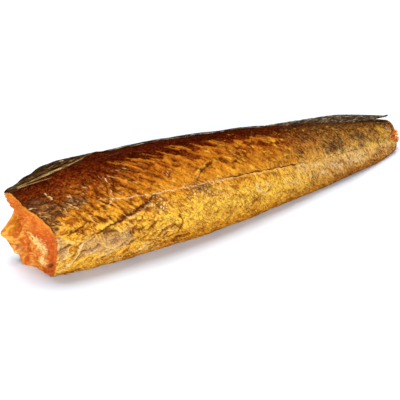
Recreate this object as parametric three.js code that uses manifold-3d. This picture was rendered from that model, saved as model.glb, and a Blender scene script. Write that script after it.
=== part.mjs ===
// A smoked ling trunk in one piece: the head and tail are cut off, and the skin and back fins are left on.
// It lies on its belly and leans back, so that one flank faces forward and up.
// Millimetres, +Z up. +X runs from the nape to the tail cut, and the shown flank faces -Y.
// The origin is on the table, under the middle of the fish.

import * as THREE from "three";
import { mergeVertices } from "three/addons/utils/BufferGeometryUtils.js";
import Module from "manifold-3d";

const DEG = Math.PI / 180;
const TURN = 2 * Math.PI;

// Most values below are stations: a distance s from the nape, then the value there.
// Round the trunk, 0 degrees is the back, 90 the shown flank and 180 the belly.

// The whole fish
const MIDDLE = { along: 228.6, across: -1.6 }; // the origin, from the nape and from the straight axis
const LEAN = 27; // degrees that the back tilts away from the shown flank
const BELLY_GIVE = 4.5; // how far the soft belly is pressed flat by the table
const TABLE_FILLET = 1.5; // softness of the edge of that flat
const TAIL_LIFT = { from: 385, to: 455, height: 2 }; // the thin end curls up a little
const SLUMP = { reach: 30, far: 6, near: 1 }; // the flesh spreads where it nears the table

// The outline: half the depth at the nape, behind it, at the shoulder, in the middle, at the wrist of the
// tail and at the tail cut, and how far the axis bows sideways
const HALF_DEPTH = curve([[0, 39], [40, 47], [90, 48], [190, 45], [390, 25], [445, 17]]);
const BOW = curve([[0, 5], [160, -9], [300, -5], [400, 2], [455, 12]]);
const THICKNESS_SHARE = curve([[0, 0.82], [100, 0.78], [455, 0.58]]); // of the depth
const RIDGE_PINCH = 0.16; // how much the section narrows towards the back
const SHOULDER = 0.1; // how far the widest place sits above the middle

// The cut behind the head, and the tears in its edge
const HEAD_CUT = { middle: 12.5, slant: 8.5 };
const HEAD_TEARS = [
  { angle: 325, width: 16, depth: 6 }, // nape
  { angle: 300, width: 14, depth: 11.5 }, // notch
  { angle: 279, width: 10, depth: -9.5 }, // top of the far lobe
  { angle: 258, width: 13, depth: -6.5 }, // foot of the far lobe
  { angle: 231, width: 12, depth: -6 }, // lower lobe
  { angle: 99, width: 26, depth: 6.3 }, // shown flank
  { angle: 50, width: 16, depth: -2 }, // upper lip
];
const BOWL = { u: -13, v: -8, halfWidth: 17, halfHeight: 25, depth: 4, floor: 0.1 }; // on the far side
const MUSCLE_RINGS = { u: 0, v: -15, pitch: 6.5, height: 0.35, from: 1.3, full: 0.9 }; // round the backbone
const RIM_FROM = 0.86; // share of the way to the edge from where the hollow runs out
const HEAD_PITS = [
  { u: -22, v: 15, radius: 13, depth: 10 }, // behind the notch
  { u: -26, v: -13, radius: 4.5, depth: 5 }, // pocket in the far wall
  { u: 10, v: -32, radius: 4, depth: 5 }, // slot beside the lowest flap
];

// The cut before the tail, its split skin, and the flesh that stands out of it
const TAIL_CUT = { middle: 444, slant: 2 };
const TAIL_TEARS = [{ angle: 92, width: 13, depth: -9 }];
const STUB = {
  share: 0.86, fullShare: 0.6, reach: 6, upperReach: 2.7, groove: 1.5, grooveShare: 0.88, grooveWidth: 0.06,
};
const FLAKE_THICKNESS = 3.2;
const FLAKE_REACH = 4; // how far a flake's middle stands out of the cut
const FLAKES = [
  { u: 3, v: 3.5, length: 13, height: 3.4, droop: 28 },
  { u: 4, v: 0, length: 9, height: 3.2, droop: 22 },
  { u: 2, v: -4.5, length: 10, height: 5, droop: 6 },
];

// Relief of the skin
const LATERAL_LINE = {
  angle: curve([[0, 66], [40, 76], [100, 88], [220, 89], [455, 96]]),
  from: 25, fade: 35, depth: 0.9, halfWidth: 2.6,
};
const CREASE = {
  s: [28, 116], angle: [123, 89], sag: 7, depth: 1.5, halfWidth: 2.8, lip: 0.9, lipAway: 6,
  ends: { from: -0.12, to: 1.08, fade: 0.2 }, // where it shows, as shares of its way
};
const MUSCLE_RIPPLES = {
  from: 75, to: 200, fade: 40, angle: 55, spread: 26, slant: 0.55, pitch: 13, height: 0.6,
};
const NECK_WRINKLES = { reach: 75, pitch: 17, height: 0.8, wander: 2.1 };
const LUMPS = [
  { height: 0.6, pitch: 94, turns: 3, sway: 1.3 },
  { height: 0.3, pitch: 53, turns: 5, sway: 0.6 },
];
const FOLDED_FINS = [
  { from: 22, to: 112, fade: 26, angle: 2, halfAngle: 15, height: 1.8 }, // first back fin's skin
  { from: 95, to: 405, fade: 28, angle: -1, halfAngle: 10, height: 1.3 }, // second back fin's foot
  { from: 212, to: 412, fade: 28, angle: 203, halfAngle: 18, height: 1.7 }, // belly fin
];
const FOLD_EDGE = 3; // degrees

// The first back fin: folded rays that lie on the skin
const FIN_LINE = curve([[0, 6], [15, 20], [35, 28], [60, 25], [95, 4], [115, -2]]);
const RAYS = [
  { from: 9, to: 97, shift: [0, 0], radius: 1.7 },
  { from: 13, to: 44, shift: [1, 5], radius: 1.1 },
];
const RAY_RAISE = 0.8;
const RAY_TAPER = 0.55;
const RAY_FLATNESS = 0.8;

// The second back fin: a thin blade with a free tip, measured from the ridge of the back
const BLADE = {
  from: 205,
  to: 450,
  top: curve([[205, 0], [270, 2], [315, 5], [375, 9], [425, 6.5], [450, 4.5]]),
  foot: curve([[205, -3], [395, -3], [425, 1.5], [450, 3.5]]),
  drift: curve([[205, 0], [395, 0], [450, -3]]),
  free: 400,
  thickness: 1.6,
  tipThickness: 0.9,
  leastHeight: 0.5,
  flank: { low: 0.12, high: 0.75, narrowing: 0.8 }, // where its sides are widest, and how they close
  wave: { pitch: 70, height: 0.5 },
};

// Fineness of the mesh
const AROUND = 54;
const RINGS = { headCut: 9, skin: 72, tailCut: 6, ray: 14, blade: 34 };
const RAY_SIDES = 6;
const SEAM_TOLERANCE = 0.03;

// A smooth curve through stations, level beyond both ends.
function curve(stations) {
  const x = stations.map((station) => station[0]);
  const y = stations.map((station) => station[1]);
  const rise = x.slice(1).map((_, i) => (y[i + 1] - y[i]) / (x[i + 1] - x[i]));
  const slope = x.map((_, i) => (rise[Math.max(i - 1, 0)] + rise[Math.min(i, rise.length - 1)]) / 2);
  return (at) => {
    const inside = Math.min(Math.max(at, x[0]), x[x.length - 1]);
    let i = 0;
    while (i < x.length - 2 && inside >= x[i + 1]) i += 1;
    const span = x[i + 1] - x[i];
    const t = (inside - x[i]) / span;
    const lead = t * (1 - t) * ((1 - t) * slope[i] - t * slope[i + 1]);
    return y[i] + ease(t) * (y[i + 1] - y[i]) + span * lead;
  };
}

const clamp = (x) => Math.min(Math.max(x, 0), 1);
const ease = (t) => t * t * (3 - 2 * t);
const smooth = (low, high, x) => ease(clamp((x - low) / (high - low)));
const bump = (x) => Math.exp(-x * x);
const mix = ([a, b], share) => a + (b - a) * share;

// 1 from one station to another, fading to 0 inside both ends.
const stretch = ({ from, to, fade }, s) => smooth(from, from + fade, s) * smooth(to, to - fade, s);

// Degrees from one angle to another, the short way round.
const degreesFrom = (angle, other) => ((((angle - other) % 360) + 540) % 360) - 180;

// The smooth section in the fish's own plane: u is towards the shown flank and v towards the back.
function section(s, angle) {
  const depth = HALF_DEPTH(s);
  const up = Math.cos(angle * DEG);
  const pinch = 1 - RIDGE_PINCH * Math.max(up, 0) ** 4;
  const u = depth * THICKNESS_SHARE(s) * Math.sin(angle * DEG) * (1 + SHOULDER * up) * pinch;
  return { u, v: depth * up };
}

const leaned = (u, v) => ({
  side: v * Math.sin(LEAN * DEG) - u * Math.cos(LEAN * DEG),
  height: v * Math.cos(LEAN * DEG) + u * Math.sin(LEAN * DEG),
});

// How high the axis runs above the table.
function axisHeight(s) {
  let lowest = 0;
  for (let angle = 180; angle < 260; angle += 4) {
    const { u, v } = section(s, angle);
    lowest = Math.min(lowest, leaned(u, v).height);
  }
  return -lowest - BELLY_GIVE + TAIL_LIFT.height * smooth(TAIL_LIFT.from, TAIL_LIFT.to, s);
}

// From the fish's section to the table, with the bow, the slump and the flat where it rests.
function place(s, u, v) {
  const { side, height } = leaned(u, v);
  const z = axisHeight(s) + height;
  const low = clamp(1 - z / SLUMP.reach) ** 2;
  const half = HALF_DEPTH(s) * THICKNESS_SHARE(s);
  const spread = (low * (side > 0 ? SLUMP.far : SLUMP.near) * side) / half;
  const soft = Math.max(z + TABLE_FILLET, 0) ** 2 / (4 * TABLE_FILLET);
  const across = BOW(s) + side + spread;
  return new THREE.Vector3(s - MIDDLE.along, across - MIDDLE.across, z > TABLE_FILLET ? z : soft);
}

// The lateral line, a groove along the middle of the flank.
function lateralLine(s, angle) {
  const { depth, halfWidth, from, fade } = LATERAL_LINE;
  const away = degreesFrom(angle, LATERAL_LINE.angle(s)) * DEG * HALF_DEPTH(s);
  return -depth * bump(away / halfWidth) * smooth(from, from + fade, s);
}

// The slanting crease below it, with a raised lip on its lower side.
function crease(s, angle) {
  const { sag, depth, halfWidth, lip, lipAway } = CREASE;
  const along = (s - CREASE.s[0]) / (CREASE.s[1] - CREASE.s[0]);
  const below = degreesFrom(angle, mix(CREASE.angle, along)) * DEG * HALF_DEPTH(s);
  const away = below - sag * Math.sin(Math.PI * along);
  const shown = stretch(CREASE.ends, along);
  return shown * (lip * bump((away - lipAway) / lipAway) - depth * bump(away / halfWidth));
}

// The muscle blocks that show through the upper flank.
function muscleRipples(s, angle) {
  const { slant, pitch, height, spread } = MUSCLE_RIPPLES;
  const above = degreesFrom(angle, MUSCLE_RIPPLES.angle);
  const wave = Math.sin((TURN * (s - slant * above)) / pitch);
  return height * stretch(MUSCLE_RIPPLES, s) * bump(above / spread) * wave;
}

const neckWrinkles = (s, angle) =>
  NECK_WRINKLES.height * smooth(NECK_WRINKLES.reach, 0, s) *
  Math.sin((TURN * s) / NECK_WRINKLES.pitch + NECK_WRINKLES.wander * Math.sin(3 * angle * DEG));

const lump = ({ height, pitch, turns, sway }, s, angle) =>
  height *
  Math.sin((TURN * s) / pitch + sway * Math.sin(2 * angle * DEG)) *
  Math.cos(turns * angle * DEG + s / pitch);

const foldedFin = (fin, s, angle) =>
  fin.height * stretch(fin, s) *
  smooth(fin.halfAngle + FOLD_EDGE, fin.halfAngle - FOLD_EDGE, Math.abs(degreesFrom(angle, fin.angle)));

// All the relief of the skin together, in millimetres outwards.
function relief(s, angle) {
  const lumps = LUMPS.reduce((sum, wave) => sum + lump(wave, s, angle), 0);
  const fins = FOLDED_FINS.reduce((sum, fin) => sum + foldedFin(fin, s, angle), 0);
  const folds = lateralLine(s, angle) + crease(s, angle) + neckWrinkles(s, angle) + fins;
  return folds + muscleRipples(s, angle) + lumps;
}

// The section with its relief, raised by some more millimetres.
function skin(s, angle, raise = 0) {
  const { u, v } = section(s, angle);
  const grow = 1 + (relief(s, angle) + raise) / Math.hypot(u, v);
  return { u: u * grow, v: v * grow };
}

function skinPoint(s, angle, raise = 0) {
  const { u, v } = skin(s, angle, raise);
  return place(s, u, v);
}

// Where each cut meets the skin.
const torn = (angle, tears) =>
  tears.reduce((sum, tear) => sum + tear.depth * bump(degreesFrom(angle, tear.angle) / tear.width), 0);
const cutPlane = (cut, up) => cut.middle - cut.slant * up;
const headRim = (angle) => cutPlane(HEAD_CUT, Math.cos(angle * DEG)) + torn(angle, HEAD_TEARS);
const tailRim = (angle) => cutPlane(TAIL_CUT, -Math.cos(angle * DEG)) + torn(angle, TAIL_TEARS);

// How deep the head cut is hollowed.
function hollow(u, v) {
  const away = Math.hypot((u - BOWL.u) / BOWL.halfWidth, (v - BOWL.v) / BOWL.halfHeight);
  const ringPhase = (TURN * Math.hypot(u - MUSCLE_RINGS.u, v - MUSCLE_RINGS.v)) / MUSCLE_RINGS.pitch;
  const shown = smooth(MUSCLE_RINGS.from, MUSCLE_RINGS.full, away);
  const rings = MUSCLE_RINGS.height * shown * Math.sin(ringPhase);
  const pits = HEAD_PITS.map((pit) => pit.depth * bump(Math.hypot(u - pit.u, v - pit.v) / pit.radius));
  return BOWL.depth * smooth(1, BOWL.floor, away) + rings + pits.reduce((sum, depth) => sum + depth);
}

// The two cut faces, a share of the way from the middle of the section to its edge.
function headFace(share, angle) {
  const rim = headRim(angle);
  const edge = skin(rim, angle);
  const [u, v] = [edge.u * share, edge.v * share];
  const plane = cutPlane(HEAD_CUT, v / HALF_DEPTH(rim));
  const tear = torn(angle, HEAD_TEARS) * share ** 3;
  return place(plane + tear + hollow(u, v) * smooth(1, RIM_FROM, share), u, v);
}

function tailFace(share, angle) {
  const rim = tailRim(angle);
  const { u, v } = skin(rim, angle);
  const reach = v < 0 ? STUB.reach : STUB.upperReach;
  const groove = STUB.groove * bump((share - STUB.grooveShare) / STUB.grooveWidth);
  const stub = reach * smooth(STUB.share, STUB.fullShare, share);
  return place(mix([TAIL_CUT.middle, rim], share) + stub - groove, u * share, v * share);
}

const ringOf = (point) => Array.from({ length: AROUND }, (_, i) => point((360 * i) / AROUND));

// Rings joined into one closed surface, each end closed on the middle of its ring.
function loft(rings) {
  const around = rings[0].length;
  const lastRing = rings.length - 1;
  const middles = [rings[0], rings[lastRing]].map((ring) =>
    ring.reduce((sum, point) => sum.add(point), new THREE.Vector3()).divideScalar(around),
  );
  const points = [...rings.flat(), ...middles];
  const id = (ring, i) => ring * around + (i % around);
  const [first, last] = [points.length - 2, points.length - 1];
  const faces = [];
  for (let i = 0; i < around; i += 1) {
    for (let ring = 0; ring < lastRing; ring += 1) {
      faces.push(id(ring, i), id(ring + 1, i + 1), id(ring + 1, i));
      faces.push(id(ring, i), id(ring, i + 1), id(ring + 1, i + 1));
    }
    faces.push(first, id(0, i + 1), id(0, i));
    faces.push(last, id(lastRing, i), id(lastRing, i + 1));
  }
  const geometry = new THREE.BufferGeometry().setFromPoints(points);
  geometry.setIndex(faces);
  return geometry;
}

// The trunk: out over the head cut, along the skin, and in over the tail cut.
function trunk() {
  const rings = [];
  for (let i = 1; i < RINGS.headCut; i += 1) {
    rings.push(ringOf((angle) => headFace(i / RINGS.headCut, angle)));
  }
  for (let i = 0; i <= RINGS.skin; i += 1) {
    rings.push(ringOf((angle) => skinPoint(mix([headRim(angle), tailRim(angle)], i / RINGS.skin), angle)));
  }
  for (let i = RINGS.tailCut - 1; i > 0; i -= 1) {
    rings.push(ringOf((angle) => tailFace(i / RINGS.tailCut, angle)));
  }
  return loft(rings);
}

// A folded fin ray, lying along the fin line.
function ray({ from, to, shift, radius }) {
  const rings = [];
  for (let i = 0; i <= RINGS.ray; i += 1) {
    const share = i / RINGS.ray;
    const s = mix([from, to], share);
    const at = (step, raise) => skinPoint(s + step, FIN_LINE(s + step) + mix(shift, share), raise);
    const middle = at(0, RAY_RAISE);
    const outwards = at(0, RAY_RAISE + 1).sub(middle).normalize();
    const along = at(1, RAY_RAISE).sub(middle).normalize();
    const sideways = new THREE.Vector3().crossVectors(along, outwards);
    const width = radius * (1 - RAY_TAPER * share);
    const corner = (_, k) =>
      middle.clone()
        .addScaledVector(outwards, width * RAY_FLATNESS * Math.cos((TURN * k) / RAY_SIDES))
        .addScaledVector(sideways, width * Math.sin((TURN * k) / RAY_SIDES));
    rings.push(Array.from({ length: RAY_SIDES }, corner));
  }
  return loft(rings);
}

// The second back fin, thickest at its foot.
function blade() {
  const rings = [];
  for (let i = 0; i <= RINGS.blade; i += 1) {
    const s = mix([BLADE.from, BLADE.to], i / RINGS.blade);
    const low = HALF_DEPTH(s) + BLADE.foot(s);
    const high = HALF_DEPTH(s) + Math.max(BLADE.top(s), BLADE.foot(s) + BLADE.leastHeight);
    const half = mix([BLADE.thickness, BLADE.tipThickness], smooth(BLADE.free, BLADE.to, s)) / 2;
    const sway = BLADE.drift(s) + BLADE.wave.height * Math.sin((TURN * s) / BLADE.wave.pitch);
    const at = (u, share) => place(s, u + sway * share, mix([low, high], share));
    const { low: wide, high: narrow, narrowing } = BLADE.flank;
    const flank = (side) => [at(side * half, wide), at(side * half * narrowing, narrow)];
    rings.push([at(0, 0), ...flank(-1), at(0, 1), ...flank(1).reverse()]);
  }
  return loft(rings);
}

// A flake of flesh at the tail cut.
function flake({ u, v, length, height, droop }) {
  const middle = place(TAIL_CUT.middle + FLAKE_REACH, u, v);
  const slab = new THREE.BoxGeometry(length, FLAKE_THICKNESS, height);
  return slab.rotateY(droop * DEG).translate(middle.x, middle.y, middle.z);
}

const wasm = await Module();
wasm.setup();

// A closed geometry as a solid that can be joined.
function solidOf(geometry) {
  for (const name of ["normal", "uv"]) geometry.deleteAttribute(name);
  const merged = mergeVertices(geometry, 1e-4);
  const vertProperties = merged.attributes.position.array;
  const triVerts = new Uint32Array(merged.index.array);
  return new wasm.Manifold(new wasm.Mesh({ numProp: 3, vertProperties, triVerts }));
}

function geometryOf(solid) {
  const { vertProperties, triVerts } = solid.getMesh();
  const geometry = new THREE.BufferGeometry();
  geometry.setAttribute("position", new THREE.BufferAttribute(vertProperties, 3));
  geometry.setIndex(new THREE.BufferAttribute(triVerts, 1));
  geometry.computeVertexNormals();
  return geometry;
}

const pieces = [trunk(), ...RAYS.map(ray), blade(), ...FLAKES.map(flake)].map(solidOf);
const fish = pieces.reduce((whole, piece) => whole.add(piece)).simplify(SEAM_TOLERANCE);

const goldenSkin = new THREE.MeshStandardMaterial({ color: "#b06a1c", roughness: 0.42, metalness: 0 });
const ling = new THREE.Mesh(geometryOf(fish), goldenSkin);
ling.name = "ling_trunk";

const part = new THREE.Group();
part.add(ling);
export default part;
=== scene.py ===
"""A smoked ling trunk: golden crumpled skin, orange flesh at both cuts, and folded fins along the back."""

import logging
import math
from collections.abc import Iterable
from dataclasses import dataclass, field
from enum import Enum
from typing import Protocol

import bpy
import numpy as np
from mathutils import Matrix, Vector, noise


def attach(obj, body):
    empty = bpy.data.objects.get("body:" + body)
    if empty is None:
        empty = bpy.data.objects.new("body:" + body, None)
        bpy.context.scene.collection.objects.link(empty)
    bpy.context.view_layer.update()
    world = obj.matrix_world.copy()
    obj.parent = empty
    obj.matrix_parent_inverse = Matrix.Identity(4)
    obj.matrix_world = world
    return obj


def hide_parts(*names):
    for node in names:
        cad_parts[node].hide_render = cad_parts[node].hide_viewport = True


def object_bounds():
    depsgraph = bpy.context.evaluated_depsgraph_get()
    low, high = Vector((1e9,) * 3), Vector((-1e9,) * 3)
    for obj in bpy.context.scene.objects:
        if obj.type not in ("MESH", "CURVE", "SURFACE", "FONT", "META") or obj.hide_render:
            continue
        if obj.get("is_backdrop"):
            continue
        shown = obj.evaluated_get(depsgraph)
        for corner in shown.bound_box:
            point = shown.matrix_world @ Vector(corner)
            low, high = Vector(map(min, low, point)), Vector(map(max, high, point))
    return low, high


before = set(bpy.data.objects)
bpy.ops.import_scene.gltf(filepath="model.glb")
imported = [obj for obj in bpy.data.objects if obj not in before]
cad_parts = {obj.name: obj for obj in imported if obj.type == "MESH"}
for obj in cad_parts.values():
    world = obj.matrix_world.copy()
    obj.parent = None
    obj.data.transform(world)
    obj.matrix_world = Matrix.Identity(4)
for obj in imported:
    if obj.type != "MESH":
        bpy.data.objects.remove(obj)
cad_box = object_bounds()

# The fish is worked out in millimetres and degrees. A mesh is made in metres.
MM = 0.001
DEG = math.pi / 180
TURN = 2 * math.pi
TINY = 1e-9
NODE = "ling_trunk"
# The inputs of a colour mix that hold its two colours
MIX_START, MIX_END = 6, 7
# Millimetres from band to band of a wave texture whose scale is 1
WAVE_PITCH = 0.314
Array = np.ndarray
log = logging.getLogger("smoked_ling")


def smooth(low: float, high: float, x: Array) -> Array:
    """Ease from 0 at low to 1 at high."""
    t = np.clip((x - low) / (high - low), 0, 1)
    return t * t * (3 - 2 * t)


def bell(x: Array) -> Array:
    """Bell of height 1 round 0."""
    return np.exp(-np.square(x))


def mix(a: Array, b: Array, share: Array) -> Array:
    """Blend from a to b."""
    return a + (b - a) * share


def inside(share: Array, start: float, full: float) -> Array:
    """0 as near as start to either end of a length, and 1 from full inwards."""
    return smooth(start, full, share) * smooth(1 - start, 1 - full, share)


def degrees_from(angle: Array, other: Array) -> Array:
    """Degrees from one angle to another, the short way round."""
    return (angle - other + 540) % 360 - 180


def unit(vectors: Array) -> Array:
    """The same directions, each 1 long."""
    return vectors / np.linalg.norm(vectors, axis=-1, keepdims=True)


def lumps(places: Array, size: float, offset: float = 0.0) -> Array:
    """Smooth random lumps.

    Args:
        places: Points in millimetres.
        size: Millimetres of one lump.
        offset: Where in the endless noise to read, so that two calls differ.

    Returns:
        A height from about -1 to 1 for each point.
    """
    shift = Vector((offset, 1.7 * offset, -0.6 * offset))
    rows = (places.reshape(-1, 3) / size).tolist()
    return np.array([noise.noise(Vector(row) + shift) for row in rows]).reshape(places.shape[:-1])


@dataclass(frozen=True)
class Curve:
    """A smooth curve through stations, level beyond both ends."""

    stations: tuple[tuple[float, float], ...]

    def __call__(self, at: Array) -> Array:
        """Read the curve.

        Args:
            at: Distances along it.

        Returns:
            The value at each distance.
        """
        x, y = np.array(self.stations, float).T
        rise = np.diff(y) / np.diff(x)
        slope = (np.concatenate([rise[:1], rise]) + np.concatenate([rise, rise[-1:]])) / 2
        held = np.clip(at, x[0], x[-1])
        i = np.clip(np.searchsorted(x, held, side="right") - 1, 0, len(x) - 2)
        span = x[i + 1] - x[i]
        t = (held - x[i]) / span
        lead = t * (1 - t) * ((1 - t) * slope[i] - t * slope[i + 1])
        return y[i] + t * t * (3 - 2 * t) * (y[i + 1] - y[i]) + span * lead


@dataclass(frozen=True)
class Span:
    """A stretch that fades in and out inside its ends."""

    start: float
    end: float
    fade: float

    def __call__(self, at: Array) -> Array:
        """1 in the stretch and 0 beyond it."""
        return smooth(self.start, self.start + self.fade, at) * smooth(self.end, self.end - self.fade, at)


@dataclass(frozen=True)
class Tear:
    """A dent (positive) or lobe (negative) in the edge of a cut."""

    angle: float
    width: float
    depth: float


@dataclass(frozen=True)
class Cut:
    """A cut across the fish, with the tears in its edge."""

    middle: float
    slant: float
    tears: tuple[Tear, ...]

    def plane(self, up: Array) -> Array:
        """Where the cut runs, from -1 on the belly to 1 on the back."""
        return self.middle - self.slant * up

    def torn(self, angle: Array) -> Array:
        """How far the tears move the edge towards the tail."""
        return sum(tear.depth * bell(degrees_from(angle, tear.angle) / tear.width) for tear in self.tears)

    def rim(self, angle: Array) -> Array:
        """Where the cut meets the skin."""
        return self.plane(np.cos(angle * DEG)) + self.torn(angle)


@dataclass(frozen=True)
class Spot:
    """A round or oval place on the face of a cut."""

    u: float
    v: float
    half_width: float
    half_height: float
    strength: float = 1.0

    def on(self, u: Array, v: Array) -> Array:
        """How much of it each place has."""
        away = np.hypot((u - self.u) / self.half_width, (v - self.v) / self.half_height)
        return self.strength * bell(away)


@dataclass(frozen=True)
class Bowl:
    """The hollow of the head cut, on its far side."""

    u: float = -13
    v: float = -8
    half_width: float = 17
    half_height: float = 25
    depth: float = 4
    floor: float = 0.1


@dataclass(frozen=True)
class MuscleRings:
    """Rings of muscle round the backbone, shown in the bowl alone."""

    u: float = 0
    v: float = -15
    pitch: float = 6.5
    height: float = 0.35
    start: float = 1.3
    full: float = 0.9


@dataclass(frozen=True)
class Stub:
    """The flesh that stands out of the tail cut, with a groove round it where the skin has drawn back."""

    share: float = 0.86
    full_share: float = 0.6
    reach: float = 6
    upper_reach: float = 2.7
    step: float = 3
    groove: float = 1.5
    groove_share: float = 0.88
    groove_width: float = 0.06


@dataclass(frozen=True)
class Places:
    """Places on the skin, and the millimetres that one degree is long there."""

    s: Array
    angle: Array
    per_degree: Array


class Relief(Protocol):
    """A form that stands out of the smooth skin or lies below it."""

    def relief(self, at: Places) -> Array:
        """Millimetres outwards at each place."""


@dataclass(frozen=True)
class LateralLine:
    """The groove along the middle of the flank."""

    angle: Curve = Curve(((0, 66), (40, 76), (100, 88), (220, 89), (455, 96)))
    start: float = 25
    fade: float = 35
    depth: float = 0.9
    half_width: float = 2.6

    def relief(self, at: Places) -> Array:
        """Millimetres outwards at each place."""
        away = degrees_from(at.angle, self.angle(at.s)) * at.per_degree
        return -self.depth * bell(away / self.half_width) * smooth(self.start, self.start + self.fade, at.s)


@dataclass(frozen=True)
class Crease:
    """The slanting crease below the lateral line, with a raised lip on its lower side."""

    s: tuple[float, float] = (28, 116)
    angle: tuple[float, float] = (123, 89)
    sag: float = 7
    depth: float = 1.5
    half_width: float = 2.8
    lip: float = 0.9
    lip_away: float = 6
    shown: Span = Span(-0.12, 1.08, 0.2)

    def relief(self, at: Places) -> Array:
        """Shape the crease.

        Args:
            at: Places on the skin.

        Returns:
            Millimetres outwards at each place.
        """
        along = (at.s - self.s[0]) / (self.s[1] - self.s[0])
        below = degrees_from(at.angle, mix(*self.angle, along)) * at.per_degree
        away = below - self.sag * np.sin(math.pi * along)
        lip = self.lip * bell((away - self.lip_away) / self.lip_away)
        return self.shown(along) * (lip - self.depth * bell(away / self.half_width))


@dataclass(frozen=True)
class MuscleRipples:
    """Muscle blocks that show through the upper flank."""

    span: Span = Span(75, 200, 40)
    angle: float = 55
    spread: float = 26
    slant: float = 0.55
    pitch: float = 13
    height: float = 0.6

    def relief(self, at: Places) -> Array:
        """Shape the ripples.

        Args:
            at: Places on the skin.

        Returns:
            Millimetres outwards at each place.
        """
        above = degrees_from(at.angle, self.angle)
        wave = np.sin(TURN * (at.s - self.slant * above) / self.pitch)
        return self.height * self.span(at.s) * bell(above / self.spread) * wave


@dataclass(frozen=True)
class NeckWrinkles:
    """Wrinkles across the neck."""

    reach: float = 75
    pitch: float = 17
    height: float = 0.8
    wander: float = 2.1

    def relief(self, at: Places) -> Array:
        """Millimetres outwards at each place."""
        turn = TURN * at.s / self.pitch + self.wander * np.sin(3 * at.angle * DEG)
        return self.height * smooth(self.reach, 0, at.s) * np.sin(turn)


@dataclass(frozen=True)
class BroadLumps:
    """Broad lumps of the whole skin."""

    height: float
    pitch: float
    turns: int
    sway: float

    def relief(self, at: Places) -> Array:
        """Millimetres outwards at each place."""
        wave = np.sin(TURN * at.s / self.pitch + self.sway * np.sin(2 * at.angle * DEG))
        return self.height * wave * np.cos(self.turns * at.angle * DEG + at.s / self.pitch)


@dataclass(frozen=True)
class FoldedFin:
    """A fin folded flat under the skin."""

    span: Span
    angle: float
    half_angle: float
    height: float
    edge: float = 3

    def relief(self, at: Places) -> Array:
        """Millimetres outwards at each place."""
        beyond = np.abs(degrees_from(at.angle, self.angle)) - self.half_angle
        return self.height * self.span(at.s) * smooth(self.edge, -self.edge, beyond)


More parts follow.
